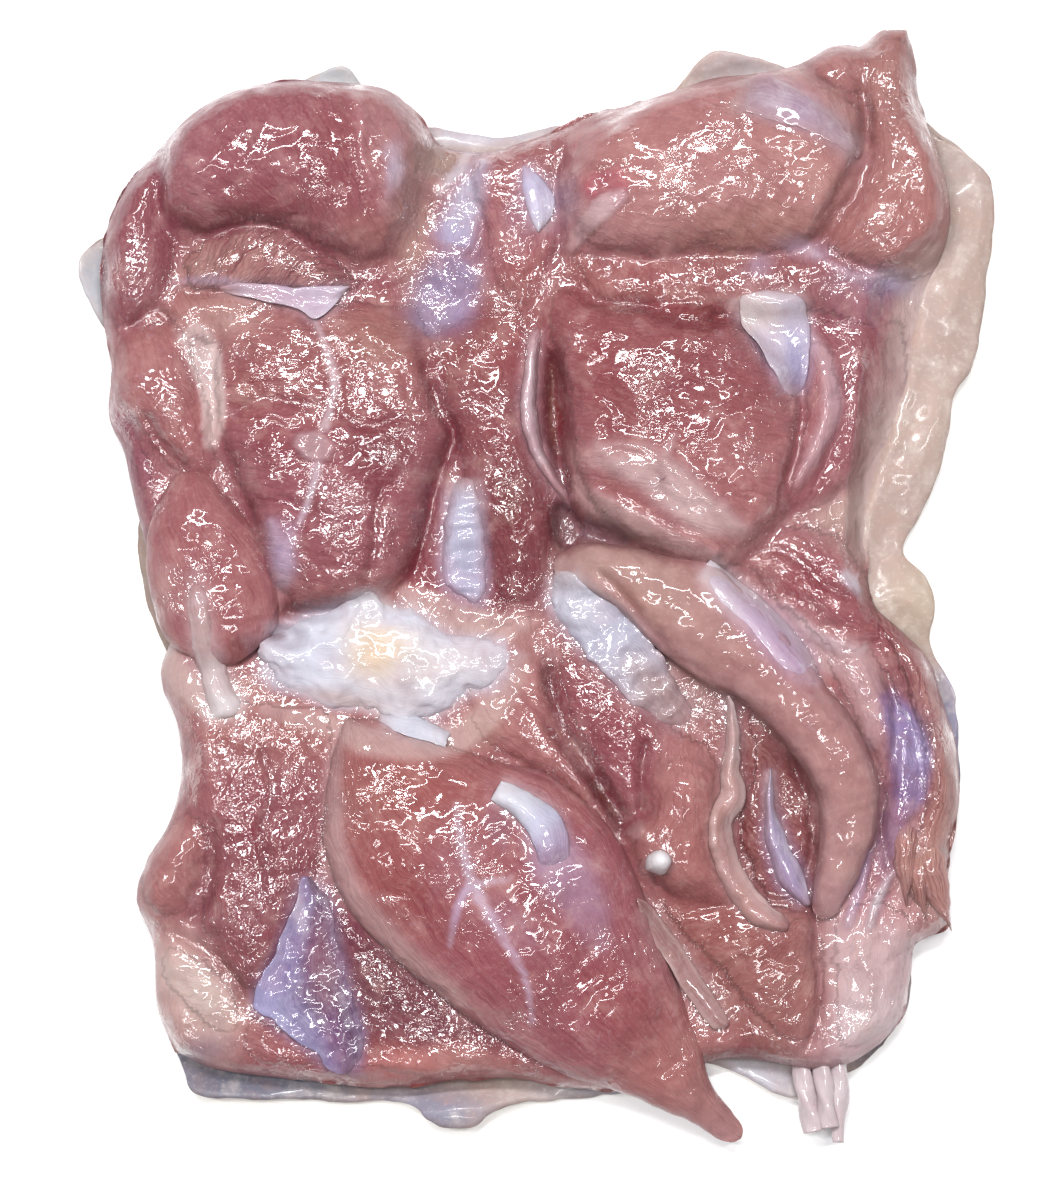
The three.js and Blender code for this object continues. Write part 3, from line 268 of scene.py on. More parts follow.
# Soft washes of colour over the flesh: x, y, radii, angle, colour, strength and how much fascia it is.
# The dark ones laid in pits and creases are painted shade.
WASHES = [
    (-36, 77, 7, 9, 20, "9a585c", 0.55, 0), (-46, 68, 12, 3.5, -5, "9c5a5e", 0.5, 0),
    (-26, 80, 5, 10, 10, "bd9690", 0.7, 0.2), (-25, 74, 1.8, 5, -10, "c9c0d6", 0.8, 0.9),
    (-30, 63, 8, 3, -10, "b88a7c", 0.6, 0.1), (-62, 76, 4, 8, 15, "a97a80", 0.4, 0.1),
    (-17, 76.5, 5, 3.4, 5, "b3a68e", 0.9, 0.4), (-14, 75, 1.2, 5, -55, "dcd6d6", 0.9, 0.8),
    (-15, 64, 4.4, 4.4, 0, "c2b9ce", 0.75, 0.9), (-16, 56, 6.6, 4, 15, "9a86a8", 0.85, 0.7),
    (-19, 49, 6, 5, 20, "957b9a", 0.75, 0.5), (-3, 66, 3.4, 6, 0, "a88294", 0.5, 0.3),
    (5, 69, 3.4, 5, 0, "9a8098", 0.6, 0.4), (-2, 57, 4, 3, 0, "b8736f", 0.5, 0),
    (-10, 72, 4, 5, 0, "c08480", 0.5, 0), (-27, 44, 8, 5, 0, "b48a74", 0.7, 0.1),
    (-57, 47.5, 7, 3, 0, "c9a594", 0.7, 0.4), (-52, 34, 3, 5, 10, "9a544c", 0.5, 0),
    (-45, 5, 2, 6, -5, "c3b0cc", 0.65, 0.8), (-60, 57, 4, 5, 0, "bf9484", 0.6, 0.3),
    (-60, 30, 2.4, 5, 8, "b46e68", 0.4, 0), (-22, 6, 3, 6, 0, "9e4a50", 0.5, 0),
    (-26, -1, 4, 2, 30, "c98a74", 0.6, 0.1), (-38, -3, 10, 2.6, 0, "b0807a", 0.5, 0.1),
    (-4, 42, 5, 4, 0, "b05c60", 0.45, 0), (-8, 26, 5, 8, 0, "a45c60", 0.4, 0),
    (-4.6, 14, 3.6, 7, 5, "7a2830", 0.75, 0), (-28, 24, 6, 6, 0, "7c343c", 0.7, 0),
    (-22.5, 64, 3.2, 12, 0, "cbb49e", 0.75, 0.2), (-20, -55, 7, 6, -40, "92403c", 0.5, 0),
    (12.5, 71.4, 3, 2.2, 0, "a02630", 0.9, 0), (16, 76, 7, 5, 30, "bd8c82", 0.4, 0),
    (38, 63, 12, 4, 0, "b79a82", 0.6, 0), (30, 80, 14, 7, 12, "c39a8e", 0.2, 0),
    (40, 57.5, 3, 2, 0, "b8a0b8", 0.6, 0.6), (48, 60, 5, 2, -10, "b6a0bc", 0.6, 0.6),
    (65, 54, 7, 2.4, 0, "a494bc", 0.95, 0.8), (58, 55, 6, 2, 10, "b08f9c", 0.5, 0.4),
    (30, 48, 7, 3, 0, "94504c", 0.7, 0), (20, 56, 6, 3, 0, "b8807a", 0.4, 0),
    (14, 23, 8, 2.6, 5, "c9a79c", 0.75, 0.3), (28, 14, 12, 3, -28, "cba89e", 0.7, 0.4),
    (36, 22, 6, 5, 0, "c89c94", 0.5, 0.1), (-48, 24, 6, 5, 0, "8e444a", 0.4, 0),
    # The dark washes at 6, 10, at 12, 9.5 and at 3.2, 30 are painted shade in the pits there.
    (10, 40, 5, 8, 0, "a5585c", 0.4, 0), (6, 10, 3, 4, 0, "5e1218", 0.9, 0),
    (12, 9.5, 5, 2.4, -10, "7a3c3a", 0.8, 0), (3.2, 30, 1.2, 9, 4, "8a2a34", 0.8, 0),
    (55, 12, 7, 4, 20, "d0bca8", 0.6, 0.4), (49, 1, 5, 3, 0, "9f4a52", 0.6, 0),
    (54, -17, 3, 2.4, 0, "c8605c", 0.5, 0.1), (52, -10, 7, 4, -40, "cfa59c", 0.6, 0.3),
    (60, -20, 5, 4, 20, "cfa79e", 0.6, 0.3), (67, -29, 4, 8, 12, "95799a", 0.9, 0.6),
    (62, -25, 2, 1.6, 0, "b86650", 0.6, 0), (63, -45, 2, 9, -8, "a88aae", 0.7, 0.5),
    (62, -58, 4, 4, 0, "c99a9a", 0.6, 0.3), (14, -3, 8, 3, -15, "cbb49c", 0.5, 0.1),
    (4, -4, 2.4, 3, 0, "d9cfd2", 0.6, 0.6), (26, -20, 7, 3, -30, "a88878", 0.6, 0.5),
    # The dark wash at 8, -33 is painted shade in the crease there.
    (10, -25, 5, 8, 30, "9c4e58", 0.5, 0), (8, -33, 1.3, 13, 38, "7c2a32", 0.8, 0),
    (26, -32, 3, 5, 0, "c6958a", 0.5, 0.1), (42, -40, 4, 12, 5, "a46a64", 0.4, 0.1),
    (30, -62, 7, 5, 0, "ad7062", 0.4, 0), (47, -72, 5, 10, 0, "b88c7c", 0.5, 0.1),
    (58, -66, 8, 8, 0, "dcc2ba", 0.5, 0.5), (57, -57, 5, 3, 0, "cfa0a8", 0.5, 0.4),
    (-9, -26, 3.4, 3, 0, "c8a890", 0.7, 0.2), (-6, -15, 5, 5, 0, "c49488", 0.5, 0.1),
    (5, -52, 9, 5, -40, "a4849e", 0.3, 0.3), (-4, -61, 8, 4, -45, "a98ba8", 0.25, 0.3),
    (-14, -50, 5, 8, -20, "b77e84", 0.4, 0.3), (-22, -36, 9, 5, 0, "b8786a", 0.5, 0),
    (-26, -52, 6, 8, 0, "ac645e", 0.45, 0), (14, -74, 8, 6, -45, "b4706a", 0.4, 0),
    # The dark wash at -7, -42 is painted shade in the pit there.
    (-7, -42, 3, 3, 0, "8f3f48", 0.6, 0), (-52, -46, 6, 8, 0, "96505a", 0.5, 0),
    (-62, -35, 3, 8, 0, "bd8c80", 0.5, 0.1), (-45, -66, 3, 8, -10, "9a4f58", 0.5, 0),
    (-20, -86, 9, 3, -10, "c97e6c", 0.7, 0.1), (-34, -66, 4, 8, 0, "864058", 0.6, 0.1),
    (-56, -66, 3, 3, 0, "b8766e", 0.5, 0), (-55, -20, 6, 3.4, 0, "cfae9c", 0.8, 0.4),
    # The dark wash at -52, -12 is painted shade in the pit there.
    (-52, -12, 3, 2, 0, "7c4438", 0.7, 0), (-67, -4, 2.4, 10, 4, "cdb4a6", 0.6, 0.3),
    (-60, -84, 6, 3, 20, "9fa2b0", 0.5, 0.4),
]


# Creases and ridges drawn on the flesh: path, half width, rise (below 0 for a crease), colour, strength.
# Most creases take a darker colour, which is painted shade in them.
LINES = [
    ([(-34, 88), (-31.5, 84), (-31, 78), (-30, 73), (-28, 69)], 0.9, 0.8, "d2a9a8", 0.55),
    ([(-65, 66), (-60, 62.6), (-52, 65), (-44, 63.4)], 1.0, -1.0, "7d4448", 0.5),
    ([(-37, 60), (-30, 58), (-25, 60)], 1.2, -0.4, "c09a8c", 0.4),
    ([(-64, 52.4), (-55, 52.6), (-45, 52)], 0.8, -0.8, "a4706c", 0.4),
    ([(-44, 51), (-40, 47.5), (-37.5, 42), (-36, 36), (-36.5, 32), (-38, 28), (-39, 24), (-39.4, 19),
     (-41, 13), (-44, 8)], 1.3, -0.8, "8f4a50", 0.35),
    ([(-56, 30), (-49, 33), (-42, 32), (-37, 33)], 1.1, -0.7, "8a4448", 0.4),
    ([(-36, 31), (-30, 28), (-24, 29.6), (-18, 28)], 1.0, -0.7, "8a4448", 0.4),
    ([(-54, 12), (-46, 15), (-38, 12), (-30, 14), (-23, 20)], 1.2, -0.6, "94505a", 0.35),
    ([(-27, 20), (-28.6, 12), (-29.4, 4), (-32, -2)], 0.9, -0.8, "84383f", 0.5),
    ([(-22, 46), (-19.6, 38), (-18, 32), (-15, 27), (-17.5, 20), (-20, 10), (-22, 3), (-26, -2)], 1.3, -1.8,
     "7c3038", 0.5),
    ([(3, 43), (2.6, 36), (2.6, 28), (4.5, 20), (6, 14)], 1.3, -2, "6a1420", 0.9),
    ([(7, 47), (5.8, 38), (6.6, 30), (7.8, 22), (12, 13.6)], 1.0, 0.7, "c79c98", 0.35),
    ([(7.6, 22), (14, 24.6), (21, 23.4), (28, 17), (34, 11.6), (40, 8)], 0.9, 0.6, "d8bdb6", 0.6),
    ([(10, 17), (17, 19.4), (24, 15), (31, 8.6)], 1.2, -0.5, "ac7a74", 0.4),
    ([(8, 51), (16, 50.4), (24, 47.6), (30, 46.4), (35, 49)], 1.3, -1.6, "803a3c", 0.5),
    ([(8, 61), (20, 58.6), (32, 59), (44, 58.6), (52, 60)], 1.0, -0.5, "a87a74", 0.3),
    ([(48, 61), (55, 56), (59, 55), (66, 56.5), (72, 56)], 0.55, 0.5, "e8dce6", 0.8),
    ([(60, 52), (64, 53), (70, 51.6)], 0.5, -0.5, "8a6a84", 0.5),
    ([(58.5, 92), (60, 82), (58, 77), (54, 70), (50, 62)], 1.0, -1.2, "94635c", 0.5),
    ([(47.6, 44), (48, 34), (46.4, 24), (43, 14)], 1.0, -1.0, "95565a", 0.4),
    ([(38, 6), (46, 5), (52, 0), (58, -4)], 1.0, -1.0, "8a3c44", 0.5),
    ([(44, -2), (50, -4), (55, -10)], 0.8, -0.7, "8a3c44", 0.4),
    ([(10, 3), (17, -4), (24, -12), (33, -19)], 0.9, -1.2, "9b6a60", 0.4),
    ([(1.6, -12), (3.6, -24), (8.6, -32), (13, -40), (17.4, -47)], 1.8, -1.8, "641420", 0.8),
    ([(-10, -27), (-4, -31), (2, -35)], 0.8, -0.4, "8f4a4e", 0.3),
    ([(-1, -12), (2, -22), (6, -29), (11, -36)], 1.2, 0.8, "cf9f96", 0.4),
    ([(20, -27), (18.6, -35), (19, -42)], 0.9, -1.4, "7c343c", 0.6),
    ([(-59, -26), (-58, -38), (-57, -50), (-55, -60)], 1.4, 0.6, "bd8c84", 0.35),
    ([(-50, -27), (-47, -36), (-49, -46), (-46, -56)], 1.2, -0.7, "7c3c46", 0.4),
    ([(-58, -41), (-57.6, -48), (-58.6, -56), (-63, -61)], 1.0, -1.2, "7e4044", 0.6),
    ([(-66, -62), (-60, -65), (-54, -70.4), (-51.6, -76)], 0.9, -1.0, "a47a70", 0.5),
    # Painted shadow under the lower edge of the inner thigh, over the knee's cartilage.
    ([(-47, -4.8), (-40, -5), (-33, -3.4), (-28, -1.6)], 1.2, -2.0, "5f2226", 0.75),
    ([(-57, 45), (-58.4, 38), (-57.6, 31), (-59, 24)], 1.0, -0.8, "9a6258", 0.4),
    ([(-70, 31), (-67, 25), (-62, 20)], 1.0, -1.4, "803c42", 0.6),
    ([(-74, 46), (-69, 49.6), (-64, 47)], 0.9, -0.8, "96605e", 0.5),
    ([(-35, -88), (-26, -86), (-16, -88)], 1.1, 0.6, "c98674", 0.4),
    ([(50, -56), (50.4, -66), (50.6, -76), (48, -86)], 1.0, -1.0, "9a5a58", 0.4),
    ([(57, -62), (60, -72), (59, -82)], 1.4, 0.6, "e6d2ca", 0.4),
    ([(36, -26), (37.6, -36), (37, -46), (40, -54)], 1.2, -0.8, "86443f", 0.4),
    ([(45, -30), (49, -38), (49.6, -48), (47.6, -56)], 1.2, -1.8, "7c3a36", 0.5),
    ([(62, -14), (64.6, -24), (63.6, -34), (62, -44), (64, -54)], 0.9, -1.4, "743848", 0.6),
    ([(-10, 80), (-12, 72), (-9.6, 64), (-12, 57)], 1.1, -1.0, "94626a", 0.4),
    ([(5.6, 80), (3.6, 72), (4.4, 64), (2, 56)], 1.0, -0.9, "8f5a68", 0.4),
]

# Soft washes of colour over the skin, in the same order of values as those over the flesh, without the
# share of fascia. The dark grey-blue ones along the bottom border are bluish skin, darkened with painted
# shade where the border rolls under.
SKIN_WASHES = [
    # The washes at -50, -90 and -66, -82 here, and at 62, -84 below, are bluish skin with painted shade.
    (-50, -90, 22, 6, 0, "858a9c", 0.95), (-66, -82, 5, 8, 10, "7c8296", 0.95),
    (-20, -95, 12, 4, 0, "a2a6bc", 0.9), (20, -92, 20, 3, 0, "ced0dc", 0.8),
    (40, -89, 9, 4, -10, "dcdee8", 0.9), (62, -84, 6, 5, 30, "86858f", 0.8),
    (67, -72, 3, 8, 0, "a6a2ac", 0.7), (76, -26, 4, 16, 0, "b2b2cc", 0.95), (70, -3, 7, 8, 0, "decdb6", 0.9),
    (-80, 55, 5, 8, 0, "e2e9f0", 0.95), (-38, 93, 12, 3.5, 5, "e2eaee", 0.95),
    (-10, 83, 14, 3, 0, "e0e0ec", 0.95), (38, 95, 10, 4, 0, "eae0e0", 0.9), (12, 85, 10, 3, 8, "e8d8dc", 0.9),
    (78, 76, 6, 5, 0, "d2c2ba", 0.8), (80, 56, 5, 14, 0, "d2beb0", 0.8), (72, 30, 6, 12, 0, "d4c2b2", 0.6),
    (-72, 6, 3, 12, 0, "c4b6a8", 0.8), (-68, -12, 3, 5, 0, "c4b6a8", 0.8), (68, 40, 5, 14, 10, "d2bcb0", 0.7),
]

# Thin strips painted on the flesh itself. An outline is two edges a and b, or a middle line path with its
# half widths; tones are its colours along it, rise its height (below 0 for a pit), soft_edge the width of its
# soft border, strength how strongly it covers, fade the length of its faint ends, calm how much less juicy it
# is. The strips in the two tables below it leave only a faint border in the flesh, as strong as halo.
LAID = [
    dict(name="flank_fat", rise=0.7, tones="dcc4ba ecdcd2 ecdace d6b8ac",
         path=[(-63.4, 46), (-60.4, 43), (-58.8, 37.6), (-57.8, 31), (-58.6, 24)],
         half=(2.4, 3, 2.4, 2, 1.2)),
    dict(name="thigh_seam", rise=0.6, soft_edge=0.6, tones="c09a98 dcc6c6 d2bcbe", strength=1,
         path=[(-44, 51), (-40, 47.5), (-37.6, 42), (-36, 36), (-36.6, 32), (-38, 27)],
         half=(0.4, 0.45, 0.5, 0.8, 0.45, 0.9)),
    dict(name="seam_knot", rise=0.8, tones="c8a09e d2b4b2 c49a98",
         path=[(-43.4, 25.8), (-39.6, 24.4), (-36, 23)], half=(1.2, 2.6, 1.5)),
    dict(name="seam_tail", rise=0.6, soft_edge=0.6, tones="d2b6ba dcccd2 c8b0bc", strength=1,
         path=[(-38.8, 22), (-39.6, 18), (-41, 13.6), (-42.6, 10)], half=(0.9, 0.6, 0.5, 0.4)),
    dict(name="seam_veil", rise=0.2, soft_edge=2.4, tones="bfa6bc bca8c6 c4aebc", strength=0.75,
         path=[(-47.4, 12), (-46, 6), (-45, -1)], half=(1.2, 2, 1.3)),
    dict(name="groove_strand", rise=0.7, tones="dcd6d4 dedada cfc8cc",
         path=[(-11.4, 80), (-14, 75), (-18, 70)], half=(0.9, 0.9, 0.5)),
    dict(name="blood_spot", rise=0.5, soft_edge=1.6, tones="bc4a50 a0202c c45a5c", strength=0.9, fade=1,
         path=[(8.6, 72), (12, 70.6), (16, 72.6)], half=(1.6, 2.8, 1.8)),
    dict(name="blood_strand", rise=0.9, tones="cfa3a4 d8bab8 cdaaa6 bd8e88",
         path=[(16.4, 69.6), (12.6, 67.4), (9, 64), (5.4, 59.4)], half=(1, 2, 1.6, 0.7)),
    dict(name="shin_fascia", rise=0.4, soft_edge=3, tones="cfa7a2 d8b6b0 cfa8a4 c49a98", strength=0.85,
         path=[(42, -3), (49, -11), (56, -14), (60, -20), (60, -30)], half=(1.6, 3, 4, 3.4, 1.4)),
    dict(name="shin_strand", rise=0.5, tones="d2aeae dcc4c4 d2b4b0",
         path=[(44, -3), (50, -9), (56, -12), (60, -11)], half=(0.6, 1, 1.2, 0.6)),
    dict(name="ankle_strand_a", rise=0.7, tones="d6cccc e0d8da c8b0b8",
         path=[(59.4, -62), (61, -57), (64, -51)], half=(0.7, 0.9, 0.5)),
    dict(name="ankle_strand_b", rise=0.6, tones="cdb4bc bf9fb8 b08cae",
         path=[(55.4, -62), (57.4, -56), (60, -47)], half=(0.8, 1, 0.5)),
    dict(name="knuckle_bit", rise=0.8, tones="dcd6da d2c8d2",
         path=[(54.2, 2), (56, 0.8), (58.4, -2)], half=(1, 1.2, 0.7)),
    dict(name="calf_vein_a", rise=0.25, soft_edge=0.8, tones="c8a8ae dac6d2 d6bed0 ccaec0 c098a6", strength=1,
         path=[(-14.4, -39), (-13, -47), (-11, -54), (-7, -61), (-2, -70), (-0.6, -79)],
         half=(0.4, 0.6, 0.9, 0.6, 0.5, 0.3)),
    dict(name="calf_vein_b", rise=0.2, soft_edge=0.8, tones="dac6d2 ceb2c0", strength=1,
         path=[(-12, -54), (-8, -53), (-4, -52.6)], half=(0.6, 0.5, 0.3)),
    dict(name="calf_vein_c", rise=0.2, soft_edge=0.8, tones="d2bcd2 c4a6c0 b898a6", strength=1,
         path=[(-11.6, -53), (-14, -58), (-15.4, -65)], half=(0.8, 0.6, 0.3)),
    dict(name="calf_rim", rise=0.2, soft_edge=2.4, tones="cda39a d2aaa0 cfa498 c99888", strength=0.6,
         path=[(-36, -28), (-36.6, -38), (-35.6, -49), (-31, -57.6), (-23, -66), (-12, -75)],
         half=(1.4, 2, 2.4, 2.2, 1.8, 1)),
    dict(name="pad_ring", rise=0.2, soft_edge=2.2, tones="d2ada0 dcbcae d8b8a8 cfa898", strength=0.75,
         path=[(-50, -22), (-38, -25), (-27, -28.6), (-14, -27.6), (-6, -20), (-2, -12)],
         half=(1.4, 2, 2.6, 2.8, 2.6, 1.6)),
    dict(name="knee_threads", rise=0.3, soft_edge=2, tones="d6b4a8 dcc0b0 cba294", strength=0.7,
         path=[(-25, -1), (-17, -5), (-8, -8), (-1, -7)], half=(1.4, 3, 3.2, 1.4)),
    # Painted shade: the hole and the flesh beside it are painted dark over their sunken height.
    dict(name="cavity", rise=-3.4, soft_edge=1.6, tones="6a1218 701820 7c2a2c", strength=1, fade=1,
         path=[(4.2, 14.6), (5.6, 11), (6, 6.4)], half=(1.2, 2.3, 1.6)),
    dict(name="cavity_side", rise=-1.2, soft_edge=2, tones="6a2a2c 86504a", strength=0.85, fade=1,
         path=[(8, 10.4), (17, 7.4)], half=(2.2, 1.4)),
    dict(name="pillow_fold", rise=1.3, soft_edge=2, tones="c09084 cfaca2 cba298 c09088", strength=0.8,
         calm=0.9,
         path=[(6.6, 20), (9.4, 15.4), (15, 12), (23, 8), (33, 4.6)], half=(0.9, 2.2, 2.2, 1.8, 0.8)),
    dict(name="pillow_edge", rise=0.5, soft_edge=3.4, tones="c49c94 d6bab2 dcc0b8 cdaaa2", strength=0.75,
         calm=0.7,
         path=[(9, 22), (15, 21), (22, 18.6), (29, 13), (38, 8.6)], half=(0.8, 2.6, 4.4, 3.4, 1)),
    dict(name="pillow_ray_a", rise=0.4, soft_edge=1.6, tones="e0c8c2 dcc0ba c8a09a", strength=0.7,
         path=[(30, 10), (25, 16), (23, 22), (25, 27)], half=(1.2, 1.4, 1, 0.5)),
    dict(name="pillow_ray_b", rise=0.4, soft_edge=1.6, tones="e0c8c2 d8bab4 c8a09a", strength=0.6,
         path=[(22, 17), (15, 20.6), (10, 26)], half=(1, 1.2, 0.5)),
    dict(name="pillow_pin", rise=0, soft_edge=0.5, tones="5c0a10 5c0a10", strength=1, fade=0.3, calm=0,
         path=[(22.4, 18), (22.6, 18.9)], half=(0.45, 0.45)),
    dict(name="groove_blue_a", rise=0.4, soft_edge=4, tones="c8c6dc d6dcf0 b4b0d4", strength=0.85, calm=-0.3,
         path=[(-9, 77), (-12.6, 69), (-15, 61)], half=(1, 3, 3.6)),
    dict(name="groove_blue_b", rise=0.3, soft_edge=5, tones="a090b4 a89cc0 9a86a2", strength=0.85, calm=-0.5,
         path=[(-11.6, 57.6), (-16, 52), (-21, 45.6)], half=(3, 5.6, 3)),
    dict(name="plate_ridge", rise=0.9, soft_edge=1.8, tones="cfa8a8 d2aeb2 cfa6a8 c09090", strength=0.75,
         path=[(48.6, 46), (52, 40), (53, 31), (50, 24), (46, 17)], half=(1, 1.5, 1.8, 1.5, 0.8)),
    dict(name="column_foot", rise=0.3, soft_edge=2.4, tones="d2b8a8 dcc4b4 d6bcae", strength=0.8,
         path=[(-67, -10), (-64, -17), (-57, -22), (-52, -22)], half=(1.8, 3, 3, 2)),
    dict(name="calf_sheen", rise=0.2, soft_edge=4, tones="b494a8 b49cc0 b090b8 b07c8c", strength=0.3,
         calm=-0.4,
         path=[(-2, -44), (4, -50), (9, -58), (12, -66)], half=(2, 5, 4, 1.6)),
    # Painted shade in the pit, painted darker over its sunken height.
    dict(name="calf_pit", rise=-1.6, soft_edge=1.8, tones="9a4a50 8a3a44 a05058", strength=0.8, fade=1,
         calm=-0.5,
         path=[(-9.6, -41), (-6.6, -44), (-5.6, -48)], half=(1, 2, 1)),
    dict(name="sole_blush", rise=0.2, soft_edge=3, tones="b86a60 cf7c6a d08c78 c08074", strength=0.7,
         path=[(-32, -88), (-22, -86), (-12, -85), (-4, -89)], half=(1.6, 2.6, 2.6, 1.4)),
    dict(name="purple_patch", rise=0.4, soft_edge=1.8, tones="8a5c8c 9484bc a69ace 8f74ac 965c80",
         strength=0.95, calm=-0.6,
         path=[(62.4, -19), (65, -24), (67, -30), (67, -37), (65, -43)], half=(1.6, 3, 3.6, 3, 1)),
    dict(name="lobe_bead", rise=2.2, soft_edge=1.4, tones="b88478 c09084", strength=0.7,
         path=[(17, -43), (19, -45.4)], half=(1.8, 1.4)),
    dict(name="ear_rim", rise=0.3, soft_edge=1.2, tones="b88c98 c4aac0 cdbad0 c4a8b8", strength=0.7,
         path=[(-66, 54.6), (-58, 54.6), (-50, 53.2)], half=(0.5, 0.9, 0.6)),
]

# Gristle that lies on the flesh, replacing the solids named in stands_for. thick is its thickness along it,
# lift how high its middle stands, curl and sink how far its edges stand up and its ends sink in, over its gap
# to the flesh, ripple, rag and ribs how uneven it is, blunt how square its ends are, swell the exponent of
# its rounding.
# blend, blend_b and fade_out carry the flesh's colour over its edges, its edge b and its sunk ends, feather
# is the width of those edges; edges are its colours across it, as strong as edging, and patches its spots,
# with the same values as the washes over the skin.
CARTILAGE = [
    dict(name="knee_pad", slot="cartilage", stands_for=["knee_cartilage"], thick=(1.8, 2.4, 3, 3.2, 2.4, 1.4),
         tones="d6dae6 e2e6f0 e8e4e0 e6e4ea dcdae4", edges="dcdce8 f2f0f4 dcdcec", lift=0.4, ripple=0.6,
         rag=1, over=-0.4, blend=0.55, feather=1.6, halo=0.75,
         patches=[(-29, -12, 6.6, 5, 0, "f2d6b0", 0.95), (-20, -15, 5, 3, 0, "e6dcd8", 0.7),
         (-40, -12, 7, 5, 0, "dfe5f4", 0.8), (-12, -13, 5, 3, 0, "e8dfe2", 0.8),
         (-36, -20.6, 9, 1.8, -8, "e0c6be", 0.7), (-24, -6, 6, 1.8, 0, "e2e4f2", 0.7),
         (-47, -9, 2.2, 1.2, 0, "5a2430", 1), (-23, -19, 2, 4, 20, "c8b4b8", 0.6)],
         a=[(-48.6, -8.4), (-44, -6.8), (-40, -5.2), (-35, -4), (-30, -1.6), (-26, -3.8), (-22, -4.4),
         (-16, -8.8), (-10, -9.6), (-4.8, -10.4)],
         b=[(-50, -15), (-47, -18.4), (-42, -19.6), (-36, -22), (-30, -22.6), (-24, -25), (-18, -23.6),
         (-13, -20), (-8, -18.8), (-4.6, -15)]),
    dict(name="chip", slot="cartilage", stands_for=["cartilage_chip"],
         path=[(20.4, -48.2), (21.7, -49.8), (22.6, -52)], half=(1.9, 2.5, 1.1), thick=(2.4, 3, 2.2),
         tones="ffffff fdf9f9", lift=0.2, ripple=0, rag=0.12, blunt=0.2, over=0.3, halo=0, swell=0.8),
]

